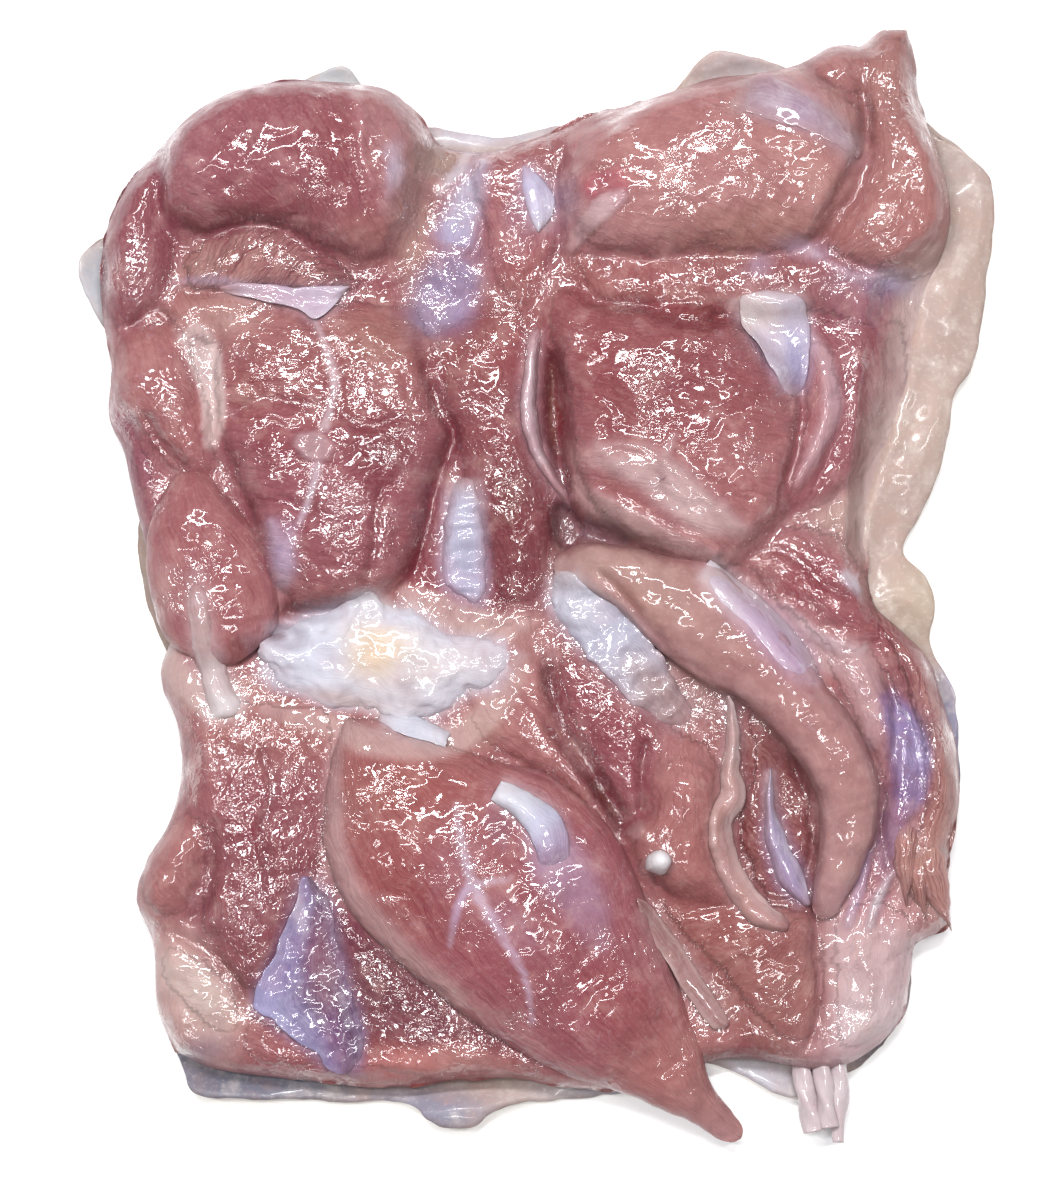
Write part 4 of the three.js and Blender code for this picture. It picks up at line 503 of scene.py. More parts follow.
# Tendons, flaps, membranes and torn tips that lie on the flesh.
TENDONS = [
    dict(name="knee_tab", slot="tendon", stands_for=["knee_flap"],
         path=[(-28, -24), (-22, -25.6), (-15.6, -27.8)], half=(1.2, 1.9, 1.5), thick=(0.8, 1.2, 1),
         tones="e6e8f2 e2e6f2 e0dfe6", curl=(0, 0.8), sink=(0.8, 0), blunt=0.8, rag=0.5, halo=0.3),
    dict(name="column_sinew", slot="tendon", stands_for=["column_tendon"], over=-0.5, blend=0.6,
         sink=(1.6, 0),
         path=[(-60.8, 3), (-60.2, -5), (-59.2, -12), (-57, -19), (-55, -23.8)], half=(1, 2, 2.3, 2.6, 3.3),
         lift=0.1, thick=(0.8, 1.2, 1.6, 2.2, 2.6), tones="bd8e8a c69c98 d2b2ac dccac6 f0ecea", rag=0.6,
         blunt=0.6, fade_out=(9, 4), feather=1.6),
    dict(name="wedge_flap", slot="membrane", stands_for=["wedge_membrane"], curl=(0.3, 0.8), lift=0.5,
         blunt=0.1,
         a=[(-57, 54), (-50, 54), (-42, 53.2), (-37, 53.6), (-33.2, 53.8)], sink=(1, 0),
         b=[(-57, 52.6), (-50, 51), (-43, 49.4), (-39, 47.6), (-33.6, 53)], thick=(0.6, 0.9, 1, 1.1, 0.9),
         halo=0.3, tones="c89c98 cda8b2 cfb4ca dccce0 e8dcea", edges="c9b6c6 bfa2b4 d6c9d2"),
    dict(name="hip_flap", slot="tendon", stands_for=["hip_tendon_flap"], curl=(0, 0.3), lift=0, over=-0.15,
         a=[(36, 88), (39, 90.6), (43, 90.6), (47, 88.4), (51, 85.4), (55, 82), (59, 78.6)], blend=1, rag=0.9,
         b=[(34, 85), (39, 83.4), (44, 82), (49, 80.4), (54, 77.6), (57, 75)], thick=(0.4, 0.5, 0.5, 0.8),
         tones="a8887e aa8a96 ae90a4 ac8c96 ccb2b4", feather=3, sink=(0.8, 0), halo=0.7),
    dict(name="groove_cord", slot="tendon", stands_for=["groove_cord"], sink=(0.8, 1),
         path=[(0, 46), (-0.8, 39), (-1.4, 32), (-0.6, 27), (1, 22.6), (4, 17.6), (6, 13.6)],
         half=(1.3, 1.2, 1.5, 1.5, 1.2, 1, 0.8), thick=(1.2, 1.6, 1.8, 1.6, 1.4, 1.2, 1), rag=0.4, halo=0.3,
         tones="c89c9c d2b2b6 d4b6bc cca6ac bf8e90 b07a76", lift=0.6, blend=0.5),
    dict(name="pillow_flap", slot="tendon", stands_for=["pillow_flap"], curl=(0.5, 0.2), lift=0.5, rag=0.5,
         a=[(34.6, 51.6), (37, 47), (39.6, 43), (42.6, 37.6), (44.6, 33.6)], sink=(0.5, 1), blend=0.25,
         b=[(44, 53), (48.4, 50.4), (49.4, 44), (49, 38), (47.4, 33.4)], thick=(1, 1.6, 1.4, 1), halo=0.5,
         tones="e8d6ce e2d4d6 ccc4de bfb6d8 c4b0c4", edges="d4c4bc cdbfc2 b2aac8 b6a8be",
         patches=[(46.4, 40, 1.6, 4.6, 4, "a6a0c6", 0.8), (40, 49, 5, 2.4, -10, "d8c8c0", 0.7)]),
    dict(name="strap_sinew", slot="tendon", stands_for=["strap_tendon"], lift=0.3, ripple=0.4, rag=0.6,
         ribs=0.5,
         a=[(-16, 19.6), (-16.4, 12), (-17, 5), (-16.4, 0), (-12, -4)], over=-0.3, blend=1, feather=2.4,
         sink=(1, 1),
         b=[(-10, 19.4), (-9.6, 12), (-9, 5), (-9, -1), (-10, -5)], thick=(0.8, 1.4, 1.8, 1.6, 1), halo=0.5,
         tones="d2b8b4 d6d6e8 ccd0e6 c4c0dc c0acc0", edges="b8a0b4 b6b6d0 ac9cb8"),
    dict(name="arch_fascia", slot="tendon", stands_for=["arch_fascia"], lift=0.3, ripple=0.9, rag=0.9,
         over=-0.1,
         a=[(2.4, 2), (3, -5), (6.6, -10.4), (12, -15.6), (18, -21.8), (26, -27)], blend=0.45, sink=(0, 1.2),
         b=[(6.4, 2.6), (10.6, -1.2), (15.8, -5.4), (21, -11.4), (25, -17.6), (30, -24)],
         thick=(1.2, 1.8, 1.8, 1.4, 1), halo=0.4, tones="ccc8d0 c8c8d6 c0c2d4 beb6c2 b09290 a0746e",
         patches=[(20, -17, 5, 2.4, -45, "a8867c", 0.6), (9, -4, 3, 5, 40, "d6d6e2", 0.6)]),
    dict(name="arch_sinew", slot="membrane", stands_for=["arch_tendon"], lift=0.1, ripple=0.1, over=-0.3,
         blend=0.3,
         a=[(31.4, 4.6), (35.4, 1.4), (40.6, -2.6), (45.4, -7.6), (49.6, -13.4), (50.4, -19)], sink=(0, 0.8),
         b=[(28.8, 2), (32.6, -3.4), (38, -9), (42.6, -14.2), (47, -18.4)], thick=(1.3, 1.2, 1, 0.9, 0.8),
         tones="f0eeee e0d4dc cbb2cc c6a8c6 c8a2b0", edges="f0e4e8 c8aac8 dcc4d0", feather=0.8, blunt=0.7),
    dict(name="curled_strip", slot="tendon", stands_for=["curled_strip"], lift=1.2, ripple=0.5, rag=0.5,
         over=0.1,
         path=[(34.4, -20), (35.4, -27), (34.8, -33), (35.2, -38), (32.8, -43), (33.8, -49), (36.4, -54.6),
         (40, -58.6), (45, -61.4)], sink=(0, 1), curl=(1.2, 0), halo=0.2,
         half=(0.5, 1.1, 1.5, 2.4, 2.1, 2.2, 2.4, 2.4, 1.6), thick=(1, 1.4, 1.8, 2, 2, 2, 2, 1.8, 1.4),
         tones="ece2e2 dcc4c0 cca69c c4968a bf8c80 bb887c bb8a7e", edges="ecd2ca c08c80 d8b0a6", edging=0.6),
    dict(name="calf_fin", slot="membrane", stands_for=["calf_membrane"], lift=0.9, curl=(0.8, 0),
         sink=(0.6, 0.8),
         path=[(42, -33), (42, -40), (43, -46), (45.4, -52), (48.6, -57.6)], half=(0.3, 0.8, 1.9, 2.4, 1),
         thick=(0.5, 0.8, 1, 1, 0.8), tones="e0d6dc c4b6c8 a89ac0 a898c4 b8a6c0",
         edges="dcd4e4 ac9cc4 b48c90", edging=0.7, blend=0.3, blend_b=0.6),
    dict(name="fan_leaf", slot="tendon", stands_for=["fan_strip"], lift=0.6, curl=(0.5, 0.7), over=-0.1,
         a=[(18, -55.6), (21, -58), (25.4, -64), (29.6, -70), (33.2, -76), (34.8, -78.4)],
         b=[(18, -57.4), (20, -62.4), (23.6, -68), (27, -73.6), (31, -79), (33.8, -79.8)],
         thick=(0.6, 1.0, 1.2, 1.1, 0.7), tones="ad7a70 b2857a b6897e b98e84 ba8c82",
         edges="d0aea4 a8746a a8746a d0aea4", edging=0.8, blend=0.2),
    dict(name="calf_stub", slot="tendon", stands_for=["calf_tendon"], lift=0.5, curl=(0.6, 0.2), rag=0.3,
         blunt=0.9,
         a=[(-6.2, -35), (-2, -36.8), (2.6, -39.8), (5.4, -44), (6, -51)], sink=(0, 1.8), fade_out=(4, 10),
         b=[(-8.2, -38.8), (-4.6, -41), (-1.6, -44), (0, -47.6), (0.6, -52)], thick=(1.6, 1.8, 1.4, 1, 0.6),
         tones="f2f2f8 e8ecf6 d2d4ea bcb6d8 b0a0c4", halo=0.3),
    dict(name="shank_veil", slot="membrane", stands_for=["shank_membrane"], lift=0.4, ripple=0.7, rag=0.9,
         over=-0.1,
         a=[(-42, -52), (-43.6, -58), (-46.6, -66), (-50.8, -74.6), (-47, -78.6), (-41, -83), (-36, -87.6)],
         b=[(-39.4, -52.6), (-37, -57), (-35, -65), (-33, -73), (-31, -80), (-31.6, -86), (-33.4, -88.4)],
         thick=(0.8, 1.1, 1.3, 1.2, 0.9), tones="ac92ac 9480a4 826c94 7a6c9a 887fae 9a92be", curl=(0.8, 0),
         edges="a49cc8 8c7aac 561048 501034", edging=0.8, blend_b=0.9,
         patches=[(-37.6, -68, 3.4, 8, 6, "7c1050", 1), (-47.4, -76, 4.6, 3, -30, "aaa6d2", 0.8),
         (-42.6, -58, 1.4, 5, 12, "cfc0d4", 0.8), (-36, -82, 2.4, 5, 10, "8a4c84", 0.5)]),
    dict(name="groove_flap", slot="membrane", over=-0.1, sink=(0.6, 0), rag=0.3, curl=(0.6, 0.2), blend=0.2,
         a=[(-2, 76), (0.6, 73.6), (3.2, 70), (2.6, 66), (0.8, 63.4)], thick=(0.6, 0.9, 1, 0.8), blunt=0.1,
         b=[(-2.8, 75), (-2.4, 71), (-1.8, 68), (-0.8, 65), (0, 63.2)], halo=0.4,
         tones="cdc0dc ccc6e2 d6d0e6 e8e4ee"),
]
TORN = dict(slot="meat", stripe=1, sink=(1, 0), blunt=0, blend=0.4, halo=0, tones="c89c8e d6ae9e e2c2b4")
TENDONS += [
    dict(TORN, name="torn_tip_a", over=0, rag=0.5, lift=0.4, half=(2.6, 2.2, 0.3), thick=(1.2, 1.6, 0.8),
         path=[(70.4, -47), (71.6, -54), (74.4, -62)]),
    dict(TORN, name="torn_tip_b", over=0, rag=0.5, lift=0.4, half=(2.4, 1.8, 0.3), thick=(1.2, 1.5, 0.8),
         path=[(66.4, -43), (66, -50), (66.6, -57.6)]),
    dict(TORN, name="torn_tip_c", over=0.1, rag=0.4, lift=0.3, half=(1.8, 1.5, 0.3), thick=(1, 1.4, 0.8),
         path=[(68.6, -48), (68.8, -54), (70, -60)]),
]

# The cut shank tendons: the path of each strand, its radii along it and the height of its middle line.
STRANDS = [
    ([(47.6, -82), (48.4, -90), (50.2, -98.4)], (1.6, 1.8, 2.0), 4.6),
    ([(51, -82), (52, -91), (52.8, -97.6)], (1.5, 1.7, 1.6), 5.6),
    ([(54, -81), (54.6, -90), (54.4, -100.4)], (1.8, 1.8, 1.0), 4.6),
]

# The long lamps: name, place in metres, length and width in metres, watts.
LAMPS = [
    ("upper tube", (-0.06, 0.3, 0.72), (0.5, 0.05), 6.2),
    ("lower tube", (0.1, -0.22, 0.8), (0.35, 0.035), 1.9),
    ("left tube", (-0.3, 0.06, 0.74), (0.035, 0.4), 2.3),
    ("right tube", (0.24, 0.1, 0.8), (0.03, 0.3), 1.6),
]

# Where the free border of the skin stands up: x, y, radius and height.
SKIN_CURLS = [
    (-82, 56, 12, 3.5), (-36, 94, 14, 4), (38, 96, 16, 4.5), (82, 70, 26, 2.4), (76, 28, 20, 2.8),
    (72, -4, 14, 3), (77, -24, 16, 4), (-60, -91, 22, 3.6), (-20, -96, 24, 3.2), (42, -91, 14, 2.4),
]


def tone(code):
    """A six-digit screen colour as linear red, green, blue."""
    srgb = np.array([int(code[i:i + 2], 16) for i in (0, 2, 4)]) / 255
    return np.where(srgb <= 0.04045, srgb / 12.92, ((srgb + 0.055) / 1.055) ** 2.4)


def ease(value):
    """0 below 0, 1 above 1 and a smooth S between."""
    v = np.clip(value, 0, 1)
    return v * v * (3 - 2 * v)


def curve(points, count):
    """A smooth curve through the points, as count places evenly spaced along its length."""
    p = np.asarray(points, float)
    if len(p) == 2:
        return p[0] + np.linspace(0, 1, count)[:, None] * (p[1] - p[0])
    q = np.vstack([2 * p[0] - p[1], p, 2 * p[-1] - p[-2]])
    s = np.linspace(0, len(p) - 1, (len(p) - 1) * 24 + 1)
    i = np.minimum(s.astype(int), len(p) - 2)
    f = (s - i)[:, None]
    a, b, c, d = q[i], q[i + 1], q[i + 2], q[i + 3]
    fine = b + 0.5 * f * (c - a + f * (2 * a - 5 * b + 4 * c - d + f * (3 * (b - c) + d - a)))
    run = np.r_[0, np.cumsum(np.linalg.norm(np.diff(fine, axis=0), axis=1))]
    at = np.linspace(0, run[-1], count)
    return np.stack([np.interp(at, run, fine[:, k]) for k in range(fine.shape[1])], 1)


def row(values, t):
    """Values spread evenly from t=0 to t=1, read smoothly at t."""
    values = np.asarray(values, float)
    place = np.clip(t, 0, 1) * (len(values) - 1)
    i = np.minimum(place.astype(int), len(values) - 2)
    f = ease(place - i)
    if values.ndim > 1:
        f = f[..., None]
    return values[i] * (1 - f) + values[i + 1] * f


def tones_at(codes, t):
    """A row of screen colours, spread evenly from t=0 to t=1 and read smoothly at t."""
    return row(np.array([tone(c) for c in codes.split()]), t)


def quarter(value):
    """0 at 0 and 1 at 1, rising as a quarter circle does."""
    return np.sqrt(1 - (1 - value) ** 2)


def hashed(i, j, seed):
    """A repeatable number from 0 to 1 for each whole-number place."""
    n = (i * 374761393 + j * 668265263 + seed * 1442695041) & 0xFFFFFFFF
    n = ((n ^ (n >> 13)) * 1274126177) & 0xFFFFFFFF
    return ((n ^ (n >> 16)) & 0xFFFFFF) / 0xFFFFFF


def rough(x, y, size, seed=0):
    """Smooth random relief from -1 to 1 whose lumps are about size across."""
    u, v = np.asarray(x) / size, np.asarray(y) / size
    i, j = np.floor(u).astype(np.int64), np.floor(v).astype(np.int64)
    f, g = ease(u - i), ease(v - j)
    low = hashed(i, j, seed) * (1 - f) + hashed(i + 1, j, seed) * f
    high = hashed(i, j + 1, seed) * (1 - f) + hashed(i + 1, j + 1, seed) * f
    return 2 * (low * (1 - g) + high * g) - 1


def lumps(x, y, size, seed=0, octaves=3):
    """Layers of smooth random relief, each half the size and half the height of the one before."""
    total = 0
    for k in range(octaves):
        turn = 0.7 * k + 0.3
        c, s = math.cos(turn), math.sin(turn)
        total = total + rough(c * x - s * y, s * x + c * y, size / 2 ** k, seed + 17 * k) / 2 ** k
    return total / 1.75


def near(line, x, y):
    """Distance from each place to a line of points, and where along the line, from 0 to 1."""
    a, b = line[:-1], line[1:]
    d = b - a
    size = (d * d).sum(1)
    px, py = x[:, None] - a[:, 0], y[:, None] - a[:, 1]
    f = np.clip((px * d[:, 0] + py * d[:, 1]) / size, 0, 1)
    away = np.hypot(px - f * d[:, 0], py - f * d[:, 1])
    best = away.argmin(1)
    rows = np.arange(len(x))
    return away[rows, best], (best + f[rows, best]) / len(a)


def outline(sides):
    """The four sides of an outline as lines of places."""
    return [curve(sides[k], SIDE_PLACES) for k in ("bottom", "right", "top", "left")]


def nearest(lines, x, y):
    """Distance from each place to the nearest of the lines."""
    return np.min([near(line, x, y)[0] for line in lines], 0)


def within(loop, x, y):
    """True for the places inside a closed loop."""
    inside = np.zeros(len(x), bool)
    for (ax, ay), (bx, by) in zip(loop, np.roll(loop, -1, 0)):
        if ay != by:
            inside ^= ((ay > y) != (by > y)) & (x < (bx - ax) * (y - ay) / (by - ay) + ax)
    return inside


def soft_max(a, b, k):
    """The greater of two heights, with the corner between them rounded over k."""
    return np.maximum(a, b) + np.maximum(k - np.abs(a - b), 0) ** 2 / (4 * k)


def measures(muscle):
    """A muscle's mean length and mean width."""
    a, b = rails(muscle, 40)
    lengths = [np.linalg.norm(np.diff(line, axis=0), axis=1).sum() for line in (a, b)]
    return sum(lengths) / 2, np.linalg.norm(a - b, axis=1).mean()


def crown(muscle, t, share):
    """Height of a muscle over its rim: a half ellipse across, raised to the softness of that side, that falls
    off in a quarter circle over the last 7 mm of its length."""
    rim = row(muscle["rim"], t)
    inset = np.clip(np.minimum(t, 1 - t) * measures(muscle)[0] / TAPER, 0, 1)
    fill = 0.06 + 0.94 * quarter(inset)
    arch = 2 * np.sqrt(np.clip(share * (1 - share), 0, 0.25))
    power = np.where(share < 0.5, muscle["soft"][0], muscle["soft"][1])
    return CROWN * (row(muscle["top"], t) - rim) * fill * arch ** power


def colour_on(muscle, t, share):
    """A muscle's own colour: its tones along it, whiter towards its pale edges."""
    colours = tones_at(muscle["tones"], t)
    edge_a, edge_b = muscle["pale"]
    pale = edge_a * ease(1 - share / 0.2) + edge_b * ease(1 - (1 - share) / 0.2)
    return colours + (tone("dcc4be") - colours) * pale[..., None]


def grain_on(muscle, t, share):
    """Coordinates in mm along and across the fibres of a muscle."""
    long, wide = measures(muscle)
    u, v = t * long, (share - 0.5) * wide
    angle = math.radians(muscle["turn"])
    c, s = math.cos(angle), math.sin(angle)
    return np.stack([u * c + v * s, v * c - u * s], -1)


def deepen(colours, share=FLESH_SHARE):
    """The painted colours as they lie under the wet film, whose own shine lightens them again."""
    return np.clip(colours * share - FILM_SHINE, 0.003, 1)


def spot(x, y, at_x, at_y, wide, high, angle):
    """1 in the middle of a soft turned ellipse, falling to 0 at about 1.5 radii."""
    c, s = math.cos(math.radians(angle)), math.sin(math.radians(angle))
    u = (c * (x - at_x) + s * (y - at_y)) / wide
    v = (c * (y - at_y) - s * (x - at_x)) / high
    return np.exp(-np.minimum(u * u + v * v, 30) ** 1.4)


def wash(x, y, colours, film):
    """Lays the soft washes over colours and adds their share of fascia to film. Their edges are wavered."""
    wx = x + 1.6 * lumps(x, y, 5, 71)
    wy = y + 1.6 * lumps(x, y, 5, 72)
    for at_x, at_y, wide, high, angle, code, strength, fascia in WASHES:
        close = np.abs(x - at_x) + np.abs(y - at_y) < 2.4 * (wide + high) + 4
        if not close.any():
            continue
        amount = spot(wx[close], wy[close], at_x, at_y, wide, high, angle)
        colours[close] += (tone(code) - colours[close]) * (strength * amount)[:, None]
        film[close] = film[close] * (1 - amount) + fascia * amount
    return colours, film


def draw_lines(x, y, height, colours):
    """Adds the creases and ridges to heights and colours: a bell across each path that fades at its ends."""
    for path, half, rise, code, strength in LINES:
        line = curve(path, 30)
        low, high = line.min(0) - 4 * half, line.max(0) + 4 * half
        some = np.flatnonzero((x > low[0]) & (x < high[0]) & (y > low[1]) & (y < high[1]))
        if not len(some):
            continue
        px, py = x[some], y[some]
        away, t = near(line, px + 0.5 * lumps(px, py, 4, 81), py + 0.5 * lumps(px, py, 4, 82))
        amount = np.exp(-(away / half) ** 2) * ease(np.minimum(t, 1 - t) * 8)
        height[some] += rise * amount
        colours[some] += (tone(code) - colours[some]) * (strength * amount)[:, None]
    return height, colours


def blur(grid, reach):
    """A raster smoothed by a bell curve of the given reach in mm."""
    count = int(3 * reach / CELL)
    for axis in (0, 1):
        total, weight = 0, 0
        for k in range(-count, count + 1):
            w = math.exp(-(k * CELL / reach) ** 2 / 2)
            total = total + w * np.roll(grid, k, axis)
            weight += w
        grid = total / weight
    return grid


def spread_out(muscle):
    """The cells near a muscle with t, share and how far outside it they are: cells inside take the mean of
    the muscle's own places that fall in them, and each ring of cells outside the mean of its neighbours."""
    long, wide = measures(muscle)
    rows, columns = int(long / OWN_STEP), max(8, int(1.5 * wide / OWN_STEP))
    a, b = (line[:, None] for line in rails(muscle, rows))
    share = np.linspace(0, 1, columns)[None, :, None] + np.zeros((rows, 1, 1))
    t = np.linspace(0, 1, rows)[:, None, None] + np.zeros((1, columns, 1))
    cell = np.round((a * (1 - share) + b * share - LOW) / CELL).astype(int).reshape(-1, 2)
    first = cell.min(0) - RINGS - 1
    size = cell.max(0) + RINGS + 2 - first
    index = (cell[:, 1] - first[1]) * size[0] + cell[:, 0] - first[0]
    count = np.bincount(index, minlength=size.prod()).reshape(size[1], size[0])
    known = count > 0
    fields = [np.bincount(index, values.ravel(), size.prod()).reshape(known.shape) / np.maximum(count, 1)
              for values in (t, share)]
    out = np.zeros(known.shape)
    around = [(dy, dx) for dy in (-1, 0, 1) for dx in (-1, 0, 1) if dy or dx]
    for ring in range(1, RINGS + 1):
        number = sum(np.roll(known, step, (0, 1)) for step in around)
        fresh = ~known & (number > 0)
        for field in fields:
            mean = sum(np.roll(field * known, step, (0, 1)) for step in around) / np.maximum(number, 1)
            field[fresh] = mean[fresh]
        out[fresh] = ring * CELL
        known |= fresh
    window = (slice(first[1], first[1] + size[1]), slice(first[0], first[0] + size[0]))
    return window, known, fields[0], fields[1], out


def lay(strip, height, colours, film, juice):
    """Paints a strip's own outline on the raster: its tones along it, its rise, and a soft border round it.
    A strip that is also a piece of its own leaves only the fainter border of its colour in the flesh."""
    painted = "rise" in strip
    window, known, t, share, out = spread_out(strip)
    a, b = rails(strip, 200)
    wide = row(np.linalg.norm(a - b, axis=1), t)
    inside = np.minimum(share, 1 - share) * wide - out
    ends = np.minimum(t, 1 - t) * np.linalg.norm(np.diff(a, axis=0), axis=1).sum()
    fade = ease(ends / strip.get("fade", 1.5) + 0.3)
    soft = strip.get("soft_edge", 0.9 if painted else 2.6)
    amount = ease(0.5 + (inside + (0 if painted else 0.6)) / soft) * fade * known
    tones = tones_at(strip["tones"], t)
    strength = (strip.get("strength", 0.9) if painted else strip.get("halo", 0.6)) * amount
    colours[window] += (tones - colours[window]) * strength[..., None]
    if painted:
        height[window] += strip["rise"] * amount
        juice[window] -= strip.get("calm", 0.5) * amount
    film[window] = np.maximum(film[window], 0.7 * amount)


@functools.lru_cache(maxsize=None)
def survey(full):
    """The flesh on the raster: height, colour, fascia, grain, juice and stripes. Each muscle is laid over the
    level bed in turn by a soft maximum, the whole is smoothed and wavered, and then pits, creases, washes and
    thin laid strips are added. Without full, the proud muscles leave only a low core here."""
    y, x = np.mgrid[0:CELLS[0], 0:CELLS[1]] * CELL
    x, y = x + LOW[0], y + LOW[1]
    height = BED + 0.5 * lumps(x, y, 9, 3)
    colours = tone("a56264") * (1 + 0.1 * lumps(x, y, 7, 5))[..., None]
    layers = np.stack([np.full(x.shape, v) for v in (0.08, 0.5, 0.25)], -1)
    grain = np.stack([y, x], -1)
    laid = [(muscle, *spread_out(muscle)) for muscle in MUSCLES]
    weights = np.full(x.shape, 0.03)
    for muscle, window, known, t, share, out in laid:
        weight = known * np.exp(-(out / 2.2) ** 2)
        colours[window] = ((colours[window] * weights[window][..., None] + colour_on(muscle, t, share)
                            * weight[..., None]) / (weights[window] + weight)[..., None])
        weights[window] += weight
    for muscle, window, known, t, share, out in laid:
        rim = row(muscle["rim"], t) + muscle.get("raise_rim", RAISE_RIM)
        level = rim + crown(muscle, t, share) - 1.3 * out
        if muscle.get("proud") and not full:
            level = np.where(out > 0, rim - 3.1 - 2 * out, rim - 3.1 + 0.6 * (level - rim))
        level = np.where(known, level, -9)
        before = height[window].copy()
        height[window] = soft_max(before, level, 1.6 if min(muscle["soft"]) > 1 else 0.8)
        amount = ease(0.5 + (level - before) / 1.6) * ease(1 - out / 1.2)
        colours[window] += (colour_on(muscle, t, share) - colours[window]) * amount[..., None]
        own = [muscle.get("film", FILM), muscle.get("juice", JUICE), muscle.get("stripe", STRIPE)]
        layers[window] += (own - layers[window]) * amount[..., None]
        grain[window] = np.where(amount[..., None] > 0.5, grain_on(muscle, t, share), grain[window])
    height = blur(height, 1.0)
    colours, layers = blur(colours, 1.3), blur(layers, 1.3)
    jump = sum(np.abs(grain - np.roll(grain, 1, axis)).max(-1) > 1.6 for axis in (0, 1)) > 0
    layers[..., 2] *= ease(1 - 2.2 * blur(jump.astype(float), 0.8))
    # Painted shade and painted highlight: below its smoothed height, in creases and hollows, the flesh is
    # painted darker, and above it, on crests, paler.
    shade_and_highlight_depth = (blur(height, 2.0) - height)[..., None]
    colours += (tone("7c343a") - colours) * np.clip(shade_and_highlight_depth * 0.3, 0, 0.3)
    colours += (tone("d9b0a8") - colours) * np.clip(-shade_and_highlight_depth * 0.25, 0, 0.15)
    flat = (x.ravel(), y.ravel())
    whole = np.c_[height.ravel(), colours.reshape(-1, 3), layers.reshape(-1, 3), grain.reshape(-1, 2)]
    whole = between(whole.reshape(*CELLS, 9), flat[0] + 1.1 * lumps(*flat, 9, 91) + 0.4 * lumps(*flat, 3, 93),
                    flat[1] + 1.1 * lumps(*flat, 9, 92) + 0.4 * lumps(*flat, 3, 94))
    height, colours, film = whole[:, 0], whole[:, 1:4], whole[:, 4]
    for at_x, at_y, wide, tall, angle, deep in HOLLOWS:
        height -= deep * spot(*flat, at_x, at_y, wide, tall, angle)
    colours, film = wash(*flat, colours, film)
    height, colours = draw_lines(*flat, height, colours)
    height, colours, film = height.reshape(CELLS), colours.reshape(*CELLS, 3), film.reshape(CELLS)
    juice = whole[:, 5].reshape(CELLS)
    for strip in (*LAID, *CARTILAGE, *TENDONS):
        lay(strip, height, colours, film, juice)
    share = np.array(FLESH_SHARE) + (np.array(PALE_SHARE) - FLESH_SHARE) * np.clip(film, 0, 1)[..., None]
    whole = np.c_[np.maximum(height, LOWEST).ravel(), deepen(colours, share).reshape(-1, 3), film.ravel(),
                  whole[:, 5:]]
    return whole.reshape(*CELLS, 9)


def between(cells, x, y):
    """A raster's values at each place, read straight between its cells, the grain from the nearest one."""
    u = np.clip((x - LOW[0]) / CELL, 0, CELLS[1] - 1.001)
    v = np.clip((y - LOW[1]) / CELL, 0, CELLS[0] - 1.001)
    i, j = u.astype(int), v.astype(int)
    f, g = (u - i)[:, None], (v - j)[:, None]
    values = ((cells[j, i] * (1 - f) + cells[j, i + 1] * f) * (1 - g)
              + (cells[j + 1, i] * (1 - f) + cells[j + 1, i + 1] * f) * g)
    values[:, 7:] = cells[j, i, 7:]
    return values


def read(x, y, full=True):
    """The survey at each place: height, colour, fascia, juice, stripe and grain."""
    values = between(survey(full), x, y)
    return values[:, 0], values[:, 1:4], values[:, 4], values[:, 5], values[:, 6], values[:, 7:]


def relief(x, y, juice):
    """Small relief of the meat: lumps a few mm across, more broken where the cut face is rough and juicy."""
    wx, wy = x + 1.5 * lumps(x, y, 6, 23, 2), y + 1.5 * lumps(x, y, 6, 24, 2)
    folds = np.abs(lumps(wx, wy, 5, 25, 2))
    return (0.3 * lumps(x, y, 6.5, 21) + (0.05 + 0.1 * juice) * lumps(wx, wy, 2.4, 22, 2)
            - (0.1 + 0.5 * juice) * np.maximum(0.22 - folds, 0) / 0.22 * 0.5)


def patch(sides, columns, rows):
    """A grid over four curves that share corners: the sum of the two pairs' ruled surfaces, less the one that
    is ruled between the corners."""
    c = {k: curve(p, columns if k in ("bottom", "top") else rows) for k, p in sides.items()}
    u, v = np.meshgrid(np.linspace(0, 1, columns), np.linspace(0, 1, rows))
    u, v = u[..., None], v[..., None]
    flat = ((1 - u) * (1 - v) * c["bottom"][0] + u * (1 - v) * c["bottom"][-1]
            + (1 - u) * v * c["top"][0] + u * v * c["top"][-1])
    return ((1 - v) * c["bottom"][None] + v * c["top"][None]
            + (1 - u) * c["left"][:, None] + u * c["right"][:, None] - flat)


def quads(rows, columns, around=False):
    """The faces of a grid of rows by columns, joined round its columns where asked."""
    j = np.arange(rows - 1)[:, None]
    i = np.arange(columns if around else columns - 1)[None, :]
    k = (i + 1) % columns
    return np.stack([j * columns + i, j * columns + k, (j + 1) * columns + k, (j + 1) * columns + i],
                    -1).reshape(-1, 4)


def grid_rim(rows, columns):
    """The places round the rim of a grid, in order."""
    index = np.arange(rows * columns).reshape(rows, columns)
    return np.r_[index[0, :-1], index[:-1, -1], index[-1, :0:-1], index[:0:-1, 0]]


def ring_places(rows, around):
    """How far along, from 0 to 1, and at what angle each place on rows of rings is."""
    return (np.repeat(np.linspace(0, 1, rows), around),
            np.tile(2 * np.pi * np.arange(around) / around, rows))


def with_ends(values):
    """Values on rows of rings, with those of the two closing points added."""
    return np.concatenate([values, values[:1], values[-1:]])


